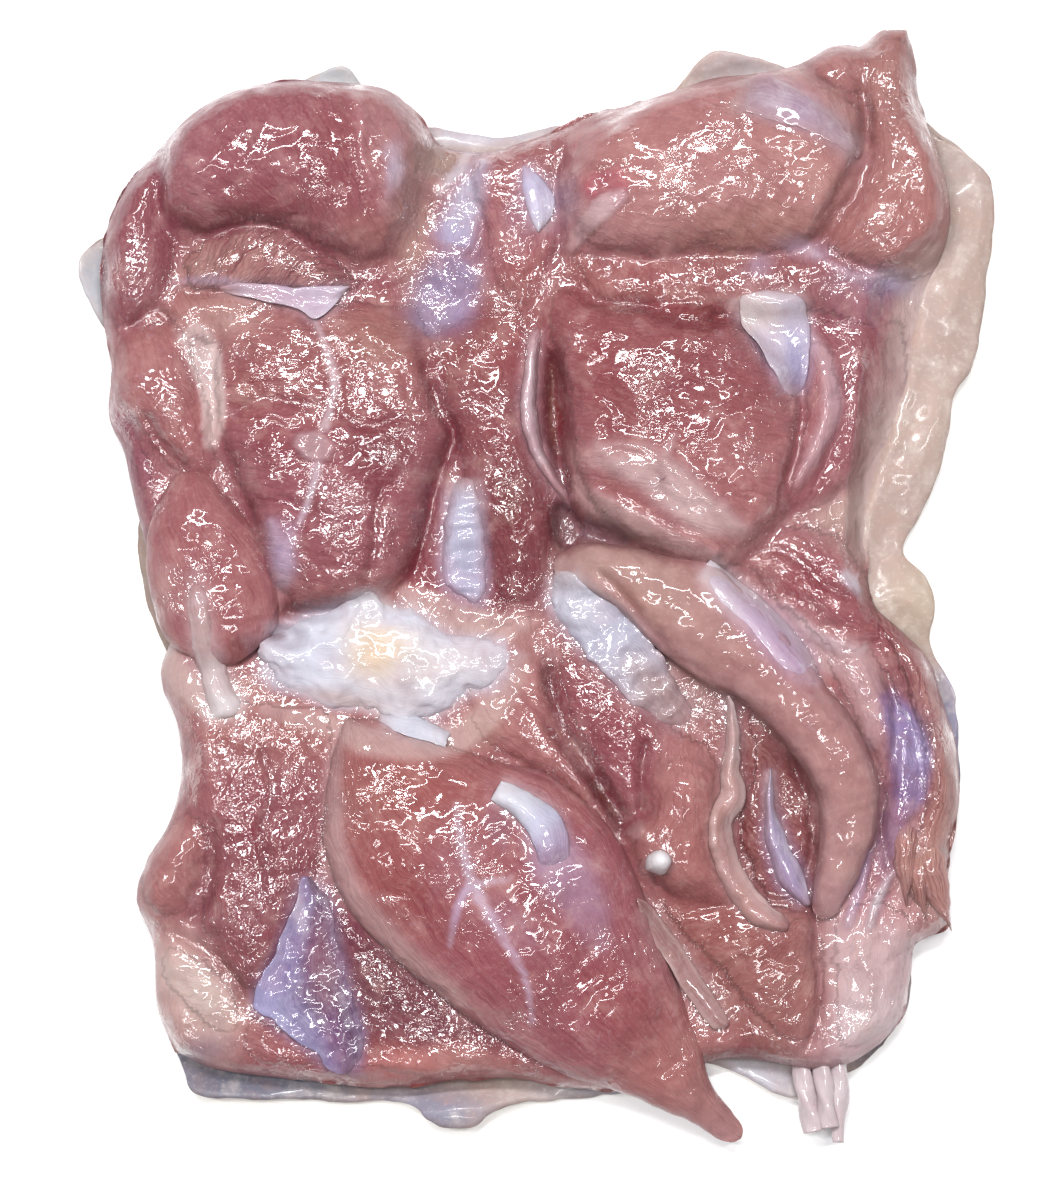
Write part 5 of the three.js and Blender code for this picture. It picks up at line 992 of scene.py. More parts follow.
def mesh_object(name, places, faces, slot, replaces=(), **data):
    """A smooth mesh in metres from places in mm, with its colour, fascia and grain, riding on the body."""
    mesh = bpy.data.meshes.new(name)
    mesh.from_pydata((np.asarray(places) * MM).tolist(), [], faces)
    for key, values in data.items():
        kind = "FLOAT_COLOR" if key == "tint" else "FLOAT" if values.ndim == 1 else "FLOAT_VECTOR"
        layer = mesh.attributes.new(key, kind, "POINT")
        if kind == "FLOAT_COLOR":
            values = np.c_[values, np.ones(len(values))]
            layer.data.foreach_set("color", values.astype(np.float32).ravel())
        elif kind == "FLOAT":
            layer.data.foreach_set("value", values.astype(np.float32))
        else:
            values = np.c_[values, np.zeros(len(values))] if values.shape[1] == 2 else values
            layer.data.foreach_set("vector", values.astype(np.float32).ravel())
    mesh.shade_smooth()
    mesh.update()
    piece = bpy.data.objects.new(name, mesh)
    bpy.context.scene.collection.objects.link(piece)
    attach(piece, "root")
    if replaces:
        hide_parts(*replaces)
    return piece


def inside_out(places, faces):
    """True where the four-sided faces of a closed surface look inwards: where its volume isn't above 0."""
    a, b, c, d = (places[faces[:, k]] for k in range(4))
    return (a * np.cross(b, c)).sum() + (a * np.cross(c, d)).sum() <= 0


def closed_rings(rings):
    """A tube of rings (rows, around, 3), closed at each end by a point in the ring's middle: its places and
    faces."""
    rows, around, _ = rings.shape
    places = np.vstack([rings.reshape(-1, 3), rings[0].mean(0), rings[-1].mean(0)])
    sides = quads(rows, around, True)
    i = np.arange(around)
    k = (i + 1) % around
    first, last = rows * around, rows * around + 1
    start = np.stack([np.full(around, first), k, i], 1)
    end = np.stack([np.full(around, last), i + (rows - 1) * around, k + (rows - 1) * around], 1)
    if inside_out(places, sides):
        sides, start, end = sides[:, ::-1], start[:, ::-1], end[:, ::-1]
    return places, sides.tolist() + start.tolist() + end.tolist()


def new_group(name, inputs, outputs):
    """An empty shader node group with the named sockets, and its input and output nodes."""
    group = bpy.data.node_groups.new(name, "ShaderNodeTree")
    for label, kind, default in inputs:
        socket = group.interface.new_socket(label, in_out="INPUT", socket_type=kind)
        if default is not None:
            socket.default_value = default
    for label, kind in outputs:
        group.interface.new_socket(label, in_out="OUTPUT", socket_type=kind)
    return group, group.nodes.new("NodeGroupInput"), group.nodes.new("NodeGroupOutput")


def add(tree, kind, inputs=None, **settings):
    """A node with its settings, and its inputs set to values or linked to sockets."""
    node = tree.nodes.new(kind)
    for key, value in settings.items():
        setattr(node, key, value)
    for key, value in (inputs or {}).items():
        if isinstance(value, bpy.types.NodeSocket):
            tree.links.new(value, node.inputs[key])
        else:
            node.inputs[key].default_value = value
    return node


def maths(tree, operation, a, b=0.0, clamp=False):
    """The result of one sum on a and b."""
    return add(tree, "ShaderNodeMath", {0: a, 1: b}, operation=operation, use_clamp=clamp).outputs[0]


def times(tree, a, b):
    """a multiplied by b."""
    return maths(tree, "MULTIPLY", a, b)


def plus(tree, a, b, clamp=False):
    """a and b added, kept from 0 to 1 where asked."""
    return maths(tree, "ADD", a, b, clamp)


def bump(tree, strength, distance, height, below=None):
    """The normal of a surface raised by height, over another bump where one is given."""
    inputs = {"Strength": strength, "Distance": distance, "Height": height}
    if below is not None:
        inputs["Normal"] = below
    return add(tree, "ShaderNodeBump", inputs).outputs[0]


def spread(tree, value, low, high, to_low=0.0, to_high=1.0, kind="LINEAR"):
    """value mapped from low..high to to_low..to_high, clamped."""
    inputs = {"Value": value, "From Min": low, "From Max": high, "To Min": to_low, "To Max": to_high}
    return add(tree, "ShaderNodeMapRange", inputs, interpolation_type=kind).outputs["Result"]


def noise(tree, vector, scale, detail=2.0, roughness=0.5, distortion=0.0):
    """Smooth random values from 0 to 1, with so many lumps to a unit of vector."""
    return add(tree, "ShaderNodeTexNoise", {"Vector": vector, "Scale": scale, "Detail": detail,
                                            "Roughness": roughness, "Distortion": distortion}).outputs["Fac"]


def mix(tree, factor, a, b):
    """The colour between a and b by factor."""
    node = add(tree, "ShaderNodeMix", data_type="RGBA")
    for socket, value in ((node.inputs[0], factor), (node.inputs[6], a), (node.inputs[7], b)):
        if isinstance(value, bpy.types.NodeSocket):
            tree.links.new(value, socket)
        else:
            socket.default_value = value
    return node.outputs[2]


def rgba(code):
    """A six-digit screen colour as four linear values."""
    return (*tone(code), 1.0)


def make_fibre_group():
    """Muscle fibres along the first grain coordinate: streak, from 0 to 1, and the height of the bundles."""
    group, source, sink = new_group(
        "muscle fibres",
        [("Grain", "NodeSocketVector", None), ("Width", "NodeSocketFloat", 1.0)],
        [("Streak", "NodeSocketFloat"), ("Height", "NodeSocketFloat")])
    warp = noise(group, source.outputs["Grain"], 0.12, 2.0)
    shift = times(group, maths(group, "SUBTRACT", warp, 0.5), 3.0)
    parts = add(group, "ShaderNodeSeparateXYZ", {0: source.outputs["Grain"]})
    across = maths(group, "DIVIDE", plus(group, parts.outputs["Y"], shift), source.outputs["Width"])
    along = times(group, parts.outputs["X"], 0.06)
    vector = add(group, "ShaderNodeCombineXYZ", {"X": along, "Y": across}).outputs[0]
    coarse = noise(group, vector, 0.9, 2.0, 0.5)
    fine = noise(group, vector, 3.4, 2.0, 0.6)
    both = plus(group, times(group, coarse, 0.6), times(group, fine, 0.4))
    group.links.new(spread(group, both, 0.32, 0.68), sink.inputs["Streak"])
    group.links.new(both, sink.inputs["Height"])
    return group


def make_wet_group():
    """A film of juice: swells and finer crinkles that catch the light, and where it is thick enough to
    shine."""
    group, source, sink = new_group(
        "wet film",
        [("Place", "NodeSocketVector", None), ("Ripple", "NodeSocketFloat", 1.0)],
        [("Height", "NodeSocketFloat"), ("Shine", "NodeSocketFloat")])
    place = source.outputs["Place"]
    swell = noise(group, place, 230.0, 1.0, 0.5, 0.6)
    crinkle = noise(group, place, 560.0, 1.5, 0.6, 1.4)
    where = spread(group, noise(group, place, 95.0, 3.0, 0.6), 0.45, 0.6)
    fine = times(group, crinkle, times(group, where, source.outputs["Ripple"]))
    tall = plus(group, times(group, fine, 0.55), swell)
    group.links.new(tall, sink.inputs["Height"])
    group.links.new(where, sink.inputs["Shine"])
    return group


def make_mottle_group():
    """Uneven colour of raw tissue: patches a few mm across, darker and redder or paler, and fine specks."""
    group, source, sink = new_group(
        "tissue mottle",
        [("Place", "NodeSocketVector", None), ("Colour", "NodeSocketColor", (0.5, 0.5, 0.5, 1)),
         ("Dark", "NodeSocketColor", (0.2, 0.05, 0.05, 1)), ("Pale", "NodeSocketColor", (0.8, 0.7, 0.7, 1)),
         ("Amount", "NodeSocketFloat", 0.3)],
        [("Colour", "NodeSocketColor")])
    place, amount = source.outputs["Place"], source.outputs["Amount"]
    patches = noise(group, place, 190.0, 4.0, 0.6, 0.3)
    specks = noise(group, place, 1300.0, 2.0, 0.6)
    dark = times(group, spread(group, patches, 0.5, 0.3), amount)
    pale = times(group, spread(group, patches, 0.52, 0.75), amount)
    colour = mix(group, dark, source.outputs["Colour"], source.outputs["Dark"])
    colour = mix(group, pale, colour, source.outputs["Pale"])
    grains = times(group, spread(group, specks, 0.55, 0.75), times(group, amount, 0.6))
    colour = mix(group, grains, colour, source.outputs["Pale"])
    group.links.new(colour, sink.inputs["Colour"])
    return group


def mottle(tree, place, tint, dark, pale, amount):
    """The painted colour, mottled towards a dark and a pale one."""
    return group_node(tree, "tissue mottle", {"Place": place, "Colour": tint, "Dark": rgba(dark),
                                              "Pale": rgba(pale), "Amount": amount}).outputs["Colour"]


def ridges(tree, vector, scale, width, twist):
    """Thin winding lines, 1 on each line and 0 beyond its width: where a noise crosses its middle value."""
    value = maths(tree, "SUBTRACT", noise(tree, vector, scale, 1.0, 0.5, twist), 0.5)
    return spread(tree, maths(tree, "ABSOLUTE", value), 0.0, width, 1.0, 0.0, "SMOOTHSTEP")


def wet_over(tree, shader, place, ripple, roughness, coat, below):
    """Lays a wet film over a shader: where it shines, roughness and coat go from their first value to their
    second, and its crinkles are a bump over the one below."""
    wet = group_node(tree, "wet film", {"Place": place, "Ripple": ripple})
    for label, (dry, shiny) in (("Roughness", roughness), ("Coat Weight", coat)):
        tree.links.new(spread(tree, wet.outputs["Shine"], 0, 1, dry, shiny), shader.inputs[label])
    tree.links.new(bump(tree, 0.5, 0.0007, wet.outputs["Height"], below), shader.inputs["Normal"])


def group_node(tree, name, inputs):
    """A node of the shader group of that name, which is made the first time."""
    makers = {"muscle fibres": make_fibre_group, "wet film": make_wet_group,
              "tissue mottle": make_mottle_group}
    group = bpy.data.node_groups.get(name) or makers[name]()
    return add(tree, "ShaderNodeGroup", inputs, node_tree=group)


def attribute(tree, name, output="Color"):
    """A value kept at each place of the mesh."""
    return add(tree, "ShaderNodeAttribute", attribute_name=name, attribute_type="GEOMETRY").outputs[output]


def cover(piece, name):
    """Gives a piece the material of that name, which is made the first time."""
    makers = {"raw muscle": flesh_material, "wet sinew": sinew_material, "moist skin": skin_material}
    piece.data.materials.append(bpy.data.materials.get(name) or makers[name]())


def new_material(name, **shader):
    """A material with one Principled shader, whose plain values are set on its own sockets."""
    material = bpy.data.materials.new(name)
    material.use_nodes = True
    tree = material.node_tree
    principled = tree.nodes["Principled BSDF"]
    for label, value in shader.items():
        principled.inputs[label.replace("_", " ")].default_value = value
    return material, tree, principled


def flesh_material():
    """Raw muscle: painted colour, fibres, mottling, lilac fascia where painted, faint pale threads that are
    partly painted glints, and a wet film over all.
    """
    material, tree, shader = new_material(
        "raw muscle", Subsurface_Weight=0.15, Subsurface_Scale=0.0012, Coat_Roughness=0.06, Coat_IOR=1.8,
        Specular_IOR_Level=0.16, Subsurface_Radius=(1.0, 0.38, 0.25))
    place = add(tree, "ShaderNodeTexCoord").outputs["Object"]
    tint, grain = attribute(tree, "tint"), attribute(tree, "grain", "Vector")
    film = attribute(tree, "film", "Fac")
    fibres = group_node(tree, "muscle fibres", {"Grain": grain, "Width": 0.5})
    juice, stripe = attribute(tree, "juice", "Fac"), attribute(tree, "stripe", "Fac")
    bare = times(tree, maths(tree, "SUBTRACT", 1.0, film, clamp=True), stripe)
    mottled = mottle(tree, place, tint, "5e1c26", "b8958f", 0.3)
    streak = times(tree, fibres.outputs["Streak"], times(tree, bare, 0.48))
    colour = mix(tree, streak, mottled, rgba("bd958b"))
    dark = times(tree, spread(tree, fibres.outputs["Streak"], 0.4, 0.0), times(tree, bare, 0.6))
    colour = mix(tree, dark, colour, rgba("5a1c26"))
    # Pale winding threads laid over the colour: partly the connective threads of the tissue, partly painted
    # glints.
    veil = noise(tree, place, 75.0, 2.0, 0.6, 0.8)
    threads = noise(tree, place, 300.0, 3.0, 0.7, 2.4)
    threads_and_glints = times(tree, spread(tree, threads, 0.56, 0.62), spread(tree, veil, 0.5, 0.62, 0.0, 0.09))
    sheet = plus(tree, threads_and_glints, times(tree, film, 0.15), clamp=True)
    colour = mix(tree, sheet, colour, rgba("bcaebc"))
    tree.links.new(colour, shader.inputs["Base Color"])
    patches = plus(tree, noise(tree, place, 85.0, 2.0, 0.6), times(tree, juice, 0.2))
    patches = spread(tree, patches, 0.55, 0.75)
    tree.links.new(spread(tree, patches, 0, 1, 0.55, 0.42), shader.inputs["Roughness"])
    tree.links.new(spread(tree, patches, 0, 1, 0.25, 1.0), shader.inputs["Coat Weight"])
    swell = noise(tree, place, 210.0, 1.0, 0.5, 0.4)
    drawn = add(tree, "ShaderNodeVectorMath", {0: grain, 1: (0.3, 1.0, 1.0)}, operation="MULTIPLY").outputs[0]
    broad = times(tree, ridges(tree, place, 380.0, 0.09, 1.0), 0.05)
    combed = times(tree, ridges(tree, drawn, 0.5, 0.1, 0.5), times(tree, stripe, 0.04))
    lines = plus(tree, broad, combed)
    lines = times(tree, lines, spread(tree, film, 0.2, 1.0, 1.0, 0.3))
    film_height = plus(tree, times(tree, lines, spread(tree, patches, 0, 1, 0.06, 1.3)),
                       times(tree, swell, 0.4))
    low = plus(tree, times(tree, fibres.outputs["Height"], times(tree, stripe, 1.3)),
               plus(tree, swell, times(tree, lines, 0.3)))
    tree.links.new(bump(tree, 0.85, 0.001, low), shader.inputs["Normal"])
    tree.links.new(bump(tree, 1.0, 0.0022, film_height), shader.inputs["Coat Normal"])
    return material


def sinew_material():
    """Tendon, fascia and membrane: painted colour, silky lengthwise threads, and a clear wet film."""
    material, tree, shader = new_material(
        "wet sinew", Subsurface_Weight=0.15, Subsurface_Scale=0.0015, Coat_Roughness=0.06, Coat_IOR=1.45,
        Specular_IOR_Level=0.25, Subsurface_Radius=(1.0, 0.6, 0.5))
    place = add(tree, "ShaderNodeTexCoord").outputs["Object"]
    tint, grain = attribute(tree, "tint"), attribute(tree, "grain", "Vector")
    fibres = group_node(tree, "muscle fibres", {"Grain": grain, "Width": 0.35})
    mottled = mottle(tree, place, tint, "9a707c", "c9c4cc", 0.2)
    streak = times(tree, fibres.outputs["Streak"], 0.16)
    colour = mix(tree, streak, mottled, rgba("cdc8d0"))
    tree.links.new(colour, shader.inputs["Base Color"])
    threads = bump(tree, 0.4, 0.0004, fibres.outputs["Height"])
    wet_over(tree, shader, place, 0.7, (0.45, 0.3), (0.5, 1.0), threads)
    return material


def skin_material():
    """Skin and its fat: painted colour, pimpled outside, smooth fatty lobes inside, moist."""
    material, tree, shader = new_material(
        "moist skin", Subsurface_Weight=0.15, Subsurface_Scale=0.002, Coat_Roughness=0.1, Coat_IOR=1.4,
        Specular_IOR_Level=0.2, Subsurface_Radius=(1.0, 0.7, 0.45))
    place = add(tree, "ShaderNodeTexCoord").outputs["Object"]
    tint, outer = attribute(tree, "tint"), attribute(tree, "film", "Fac")
    mottled = mottle(tree, place, tint, "a8867a", "d2c8c0", 0.35)
    pores = add(tree, "ShaderNodeTexVoronoi", {"Vector": place, "Scale": 330.0, "Randomness": 0.8})
    pimple = spread(tree, pores.outputs["Distance"], 0.45, 0.1)
    pimple = times(tree, pimple, outer)
    shade = times(tree, pimple, 0.45)
    colour = mix(tree, shade, mottled, rgba("c9ab8c"))
    tree.links.new(colour, shader.inputs["Base Color"])
    wet_over(tree, shader, place, 0.5, (0.5, 0.34), (0.05, 0.5), bump(tree, 0.6, 0.0007, pimple))
    return material


def flesh_bed(settings):
    """The joined meat: a grid over its outline raised to the flesh's height, rounded down at the outline,
    with a wall to a flat underside. Towards its pale border at the right it thins out."""
    columns, rows = settings.columns, settings.rows
    grid = patch(FLESH_SIDES, columns, rows)
    x, y = grid[..., 0].ravel(), grid[..., 1].ravel()
    x = x + 0.5 * lumps(x, y, 7, 41)
    y = y + 0.5 * lumps(x, y, 7, 42)
    height, colours, film, juice, stripe, grain = read(x, y, full=False)
    away = nearest(outline(FLESH_SIDES), x, y)
    thin = ease((x - 54) / 6) * ease((y - 2) / 6) * ease((66 - y) / 14)
    fade = (thin * ease(1 - (away + 2.5 * lumps(x, y, 6, 43)) / PALE_BORDER))[:, None]
    colours += (deepen(tone("d8c2b4"), PALE_SHARE) - colours) * 0.9 * fade
    film = np.maximum(film, fade[:, 0])
    depth = np.clip(away / (EDGE_REACH + THIN_REACH * thin), 0, 1)
    round_edge = quarter(depth) * (1 - thin) + ease(depth) * thin
    height = height + relief(x, y, juice) * round_edge
    low = MEAT_BASE + WALL
    height = low + (height - low) * round_edge
    top = np.c_[x, y, height]
    rim = grid_rim(rows, columns)
    wall = top[rim].copy()
    wall[:, 2] = MEAT_BASE
    places = np.vstack([top, wall])
    n, k = len(top), np.arange(len(rim))
    m = (k + 1) % len(rim)
    sides = np.stack([rim[k], n + k, n + m, rim[m]], 1)
    faces = quads(rows, columns).tolist() + sides.tolist() + [(n + k)[::-1].tolist()]
    data = dict(tint=colours, film=film, juice=juice, stripe=stripe, grain=grain)
    data = {name: np.concatenate([values, values[rim]]) for name, values in data.items()}
    cover(mesh_object("flesh", places, faces, "meat", ["meat"], **data), "raw muscle")


def proud_muscle(muscle, spacing):
    """A free-standing muscle: sections between its two edges, crowned above the rim, tucked in under it and
    closed at both ends. Its edges waver by up to half a millimetre."""
    long, wide = measures(muscle)
    rows, around = max(24, int(long / spacing)), max(24, int(2.3 * wide / spacing))
    t, angle = ring_places(rows, around)
    a, b = np.repeat(curve(muscle["a"], rows), around, 0), np.repeat(curve(muscle["b"], rows), around, 0)
    upper, lean = np.sin(angle) >= 0, np.abs(np.sin(angle))
    reach = np.where(upper, 1, 0.84 + 0.16 * (1 - lean) ** 2)
    span = np.linalg.norm(a - b, axis=1)
    close = np.clip(np.minimum(t, 1 - t) * long / np.clip(0.5 * span + 0.4, 1, 6), 0, 1)
    share = 0.5 - 0.5 * np.cos(angle) * reach * (0.1 + 0.9 * quarter(close))
    x, y = (a * (1 - share[:, None]) + b * share[:, None]).T
    rim = row(muscle["rim"], t) + muscle.get("raise_rim", RAISE_RIM)
    inset = np.clip(np.minimum(t, 1 - t) * long / TAPER, 0, 1)
    under = np.minimum(4, rim - MEAT_BASE - 0.3) * quarter(inset)
    juice = np.full(len(x), muscle.get("juice", JUICE))
    z = rim + np.where(upper, crown(muscle, t, share), -under * lean)
    z = z + relief(x, y, juice) * np.where(upper, np.sqrt(lean), 0) * inset
    x = x + 0.45 * lumps(x, y, 5, 51) * (1 - lean)
    y = y + 0.45 * lumps(x, y, 5, 52) * (1 - lean)
    inner, kept = np.clip(share, 0.06, 0.94)[:, None], np.clip(t, 2.5 / long, 1 - 2.5 / long)
    at = row(curve(muscle["a"], rows), kept) * (1 - inner) + row(curve(muscle["b"], rows), kept) * inner
    _, colours, film = read(*at.T)[:3]
    z = z + draw_lines(x, y, np.zeros(len(x)), colours.copy())[0] * np.where(upper, lean, 0)
    places, faces = closed_rings(np.c_[x, y, z].reshape(rows, around, 3))
    data = dict(tint=colours, film=film, juice=juice, stripe=np.full(len(x), muscle.get("stripe", STRIPE)),
                grain=grain_on(muscle, t, share))
    data = {name: with_ends(values) for name, values in data.items()}
    cover(mesh_object(muscle["name"], places, faces, "meat", **data), "raw muscle")


def skin_sheet(settings):
    """The skin: a grid over its outline, closed as a thin sheet. Its free border curls up where the flesh
    ends and carries lobes of fat on the right; outside it is pimpled."""
    columns, rows = settings.columns, settings.rows
    grid = patch(SKIN_SIDES, columns, rows)
    x, y = grid[..., 0].ravel(), grid[..., 1].ravel()
    x = x + 0.6 * lumps(x, y, 6, 61)
    y = y + 0.6 * lumps(x, y, 6, 62)
    flesh_edge = outline(FLESH_SIDES)
    loop = np.vstack([flesh_edge[0], flesh_edge[1], flesh_edge[2][::-1], flesh_edge[3][::-1]])
    away = nearest(flesh_edge, x, y)
    out = np.where(within(loop, x, y), 0, away)
    near_curl = np.max([h * np.exp(-((x - a) ** 2 + (y - b) ** 2) / r ** 2) for a, b, r, h in SKIN_CURLS], 0)
    rise = near_curl * (1 - np.cos(np.pi * np.clip(out / 6, 0, 1))) / 2
    border = nearest(outline(SKIN_SIDES), x, y)
    margin = np.clip(border / 2.5, 0, 1)
    inward = np.where(out > 0, 0, away)
    right = ease((x - 46) / 16) * ease((y + 30) / 24)
    fat = (1.3 + 1.6 * np.exp(-(out / 5) ** 2)) * right * ease(1 - inward / 5) * ease(border / 10)
    fat = fat * (1 + 0.3 * lumps(x, y, 9, 63) + 0.12 * lumps(x, y, 4, 67))
    waves = 0.5 * lumps(x, y, 11, 64) * np.clip(out / 5, 0, 1)
    under = rise + np.clip(waves, 0, None)
    thick = SKIN_BORDER + (SKIN_THICK - SKIN_BORDER + fat) * quarter(margin)
    top = under + thick + 0.16 * lumps(x, y, 2.6, 65) * np.clip(out, 0, 1)
    colours = tone("d4beb2") * (1 + 0.07 * lumps(x, y, 8, 68) + 0.04 * lumps(x, y, 3, 69))[:, None]
    for at_x, at_y, wide, high, angle, code, strength in SKIN_WASHES:
        amount = strength * spot(x, y, at_x, at_y, wide, high, angle)
        colours += (tone(code) - colours) * amount[:, None]
    colours = deepen(colours, SKIN_SHARE) + 0.01
    places = np.vstack([np.c_[x, y, top], np.c_[x, y, under]])
    n = rows * columns
    upper = quads(rows, columns)
    rim = grid_rim(rows, columns)
    m = np.roll(rim, -1)
    faces = np.vstack([upper, upper[:, ::-1] + n, np.stack([rim, rim + n, m + n, m], 1)])
    outer = np.r_[np.zeros(n), np.ones(n)]
    below = np.tile(tone("e0cdb0"), (n, 1)) * (1 + 0.05 * lumps(x, y, 12, 66))[:, None]
    piece = mesh_object("skin_sheet", places, faces.tolist(), "skin", ["skin"],
                        tint=np.vstack([colours, below]), film=outer)
    cover(piece, "moist skin")


def unit_along(line):
    """The direction of a line at each of its places, of length 1."""
    along = np.gradient(line, axis=0)
    along /= np.linalg.norm(along, axis=1)[:, None]
    return along


def rails(strip, count):
    """The two edges of a strip as count places each, from its a and b rows or from its middle line and its
    half widths."""
    if "a" in strip:
        return curve(strip["a"], count), curve(strip["b"], count)
    line = curve(strip["path"], count)
    along = unit_along(line)
    side = np.stack([-along[:, 1], along[:, 0]], 1) * row(strip["half"], np.linspace(0, 1, count))[:, None]
    return line + side, line - side


def draped_strip(strip, spacing=0.4):
    """A thin piece laid over the flesh: a lens across, over the smoothed height of the flesh below it, lifted
    in its middle, rippled and ribbed, with wavering edges and round ends that may sink into the flesh."""
    a, b = rails(strip, 60)
    long = np.linalg.norm(np.diff((a + b) / 2, axis=0), axis=1).sum()
    wide = np.linalg.norm(a - b, axis=1).max()
    rows, around = max(16, int(long / spacing)), max(12, int(wide / spacing) * 2)
    a, b = (np.repeat(line, around, 0) for line in rails(strip, rows))
    t, angle = ring_places(rows, around)
    end = np.clip(np.minimum(t, 1 - t) * long / min(0.5 * wide + 0.4, 0.3 * long), 0.03, 1)
    fill = quarter(end)
    blunt = strip.get("blunt", 0.35)
    share = 0.5 - 0.5 * np.cos(angle) * (blunt + (1 - blunt) * fill)
    x, y = (a * (1 - share[:, None]) + b * share[:, None]).T
    seed, rag = sum(map(ord, strip["name"])), strip.get("rag", 0.25)
    x, y = x + rag * lumps(x, y, 3.2, seed), y + rag * lumps(x, y, 3.2, seed + 1)
    floor = sum(read(x + dx, y + dy)[0] for dx, dy in ((0, 0), (1, 0), (-1, 0), (0, 1), (0, -1))) / 5
    under = strip.get("over", 0.2)
    floor = np.maximum(floor, read(x, y)[0] - 0.3) + under
    middle = 4 * share * (1 - share)
    curl = strip.get("curl", (0, 0))
    lift = strip.get("lift", 0.4) * middle + curl[0] * np.clip(1 - share / 0.3, 0, 1) ** 2
    ripple = strip.get("ripple", 0.2) * lumps(x, y, 3.5, seed + 2)
    lift += curl[1] * np.clip(1 - (1 - share) / 0.3, 0, 1) ** 2 + ripple
    sink = strip.get("sink", (0, 0))
    lift -= sink[0] * ease(1 - t * long / 5) + sink[1] * ease(1 - (1 - t) * long / 5)
    ribs = strip.get("ribs", 0) * np.abs(np.sin(t * long / 1.1 + 1.2 * lumps(x, y, 5, seed + 4))) * middle
    up = np.sin(angle)
    body = np.where(up > 0, np.abs(up) ** strip.get("swell", 1.4), 0)
    z = floor + lift + ribs + row(strip["thick"], t) * fill * body - 0.35 * np.where(up < 0, -up, 0)
    colours = tones_at(strip["tones"], t)
    if "edges" in strip:
        across = tones_at(strip["edges"], share)
        colours = colours + (across - colours) * strip.get("edging", 0.5)
    film = np.zeros(len(x))
    for at_x, at_y, wide_x, high, turn, code, strength in strip.get("patches", ()):
        amount = strength * spot(x, y, at_x, at_y, wide_x, high, turn)
        colours += (tone(code) - colours) * amount[:, None]
    colours = deepen(colours, PALE_SHARE if strip["slot"] != "meat" else FLESH_SHARE)
    rim = np.minimum(np.minimum(share, 1 - share) * wide / strip.get("feather", 1.2), end)
    edge = ease(1 - rim) * strip.get("blend", 0)
    edge = np.maximum(edge, ease(1 - (1 - share) * wide / 4) * strip.get("blend_b", 0))
    reach = strip.get("fade_out", (4, 4))
    edge = np.maximum(edge, np.minimum(sink[0], 1) * ease(1 - t * long / reach[0]))
    edge = np.maximum(edge, np.minimum(sink[1], 1) * ease(1 - (1 - t) * long / reach[1]))
    colours += (read(x, y)[1] - colours) * edge[:, None]
    colours = colours * (1 + 0.08 * lumps(x, y, 4, seed + 3))[:, None]
    places, faces = closed_rings(np.c_[x, y, z].reshape(rows, around, 3))
    data = dict(tint=colours, grain=np.c_[t * long, (share - 0.5) * wide], film=film, juice=film + 0.5,
                stripe=film + strip.get("stripe", STRIPE))
    data = {name: with_ends(values) for name, values in data.items()}
    piece = mesh_object(strip["name"], places, faces, strip["slot"], strip.get("stands_for", ()), **data)
    cover(piece, "raw muscle" if strip["slot"] == "meat" else "wet sinew")


def shank_bundle():
    """The cut shank tendons: round strands along level lines, joined into one piece."""
    places, faces, count, grains = [], [], 0, []
    for path, half, rise in STRANDS:
        rows, around = 44, 20
        line = curve(path, rows)
        radius = row(half, np.linspace(0, 1, rows))[:, None]
        along = unit_along(line)
        angle = 2 * np.pi * np.arange(around)[None] / around
        wobble = 1 + 0.12 * np.sin(3 * angle + 0.3 * np.arange(rows)[:, None])
        side = radius * wobble * np.cos(angle)
        x = line[:, :1] - along[:, 1:] * side
        y = line[:, 1:] + along[:, :1] * side
        z = rise + radius * wobble * np.sin(angle)
        p, f = closed_rings(np.stack([x, y, z], -1))
        places.append(p)
        faces += [[i + count for i in face] for face in f]
        count += len(p)
        grains.append(np.c_[-p[:, 1], p[:, 0] + p[:, 2]])
    places = np.vstack(places)
    tint = deepen(tone("e6d6d6"), PALE_SHARE) * (1 + 0.06 * lumps(places[:, 0], places[:, 1], 3, 91))[:, None]
    piece = mesh_object("shank_bundle", places, faces, "tendon", ["shank_tendons"], tint=tint,
                        grain=np.vstack(grains), film=np.ones(len(places)))
    cover(piece, "wet sinew")


def area_light(name, place, aim, size, power):
    """A rectangular soft light that points at aim, its longer side level."""
    data = bpy.data.lights.new(name, "AREA")
    data.shape, data.size, data.size_y, data.energy = "RECTANGLE", *size, power
    light = bpy.data.objects.new(name, data)
    light.location = place
    light.rotation_euler = (Vector(aim) - Vector(place)).to_track_quat("-Z", "Y").to_euler()
    bpy.context.scene.collection.objects.link(light)


class SkinSettings(bpy.types.PropertyGroup):
    columns: IntProperty(name="Columns", description="Grid lines across the skin", default=230, min=20)
    rows: IntProperty(name="Rows", description="Grid lines along the skin", default=200, min=20)


class FleshSettings(bpy.types.PropertyGroup):
    columns: IntProperty(name="Columns", description="Grid lines across the joined meat", default=288, min=20)
    rows: IntProperty(name="Rows", description="Grid lines along the joined meat", default=344, min=20)
    spacing: FloatProperty(name="Spacing", description="Grid spacing of the proud muscles, in mm",
                           default=0.5)


class StageSettings(bpy.types.PropertyGroup):
    floor: FloatVectorProperty(name="Floor", description="Colour of the floor", subtype="COLOR", size=3,
                               default=(0.93, 0.93, 0.94), min=0, max=1)
    distance: FloatProperty(name="Camera distance", description="Height of the camera over the meat",
                            default=0.75, unit="LENGTH")
    view_height: FloatProperty(name="View height", description="Length of the meat's plane in view",
                               default=0.2138, unit="LENGTH")
    tilt: FloatProperty(name="Tilt", description="How far the camera leans back from straight down",
                        default=math.radians(2), subtype="ANGLE")


class ThighProps(bpy.types.PropertyGroup):
    skin: PointerProperty(name="Skin", description="Grid of the skin", type=SkinSettings)
    flesh: PointerProperty(name="Flesh", description="Grids of the meat", type=FleshSettings)
    stage: PointerProperty(name="Stage", description="Floor and camera", type=StageSettings)


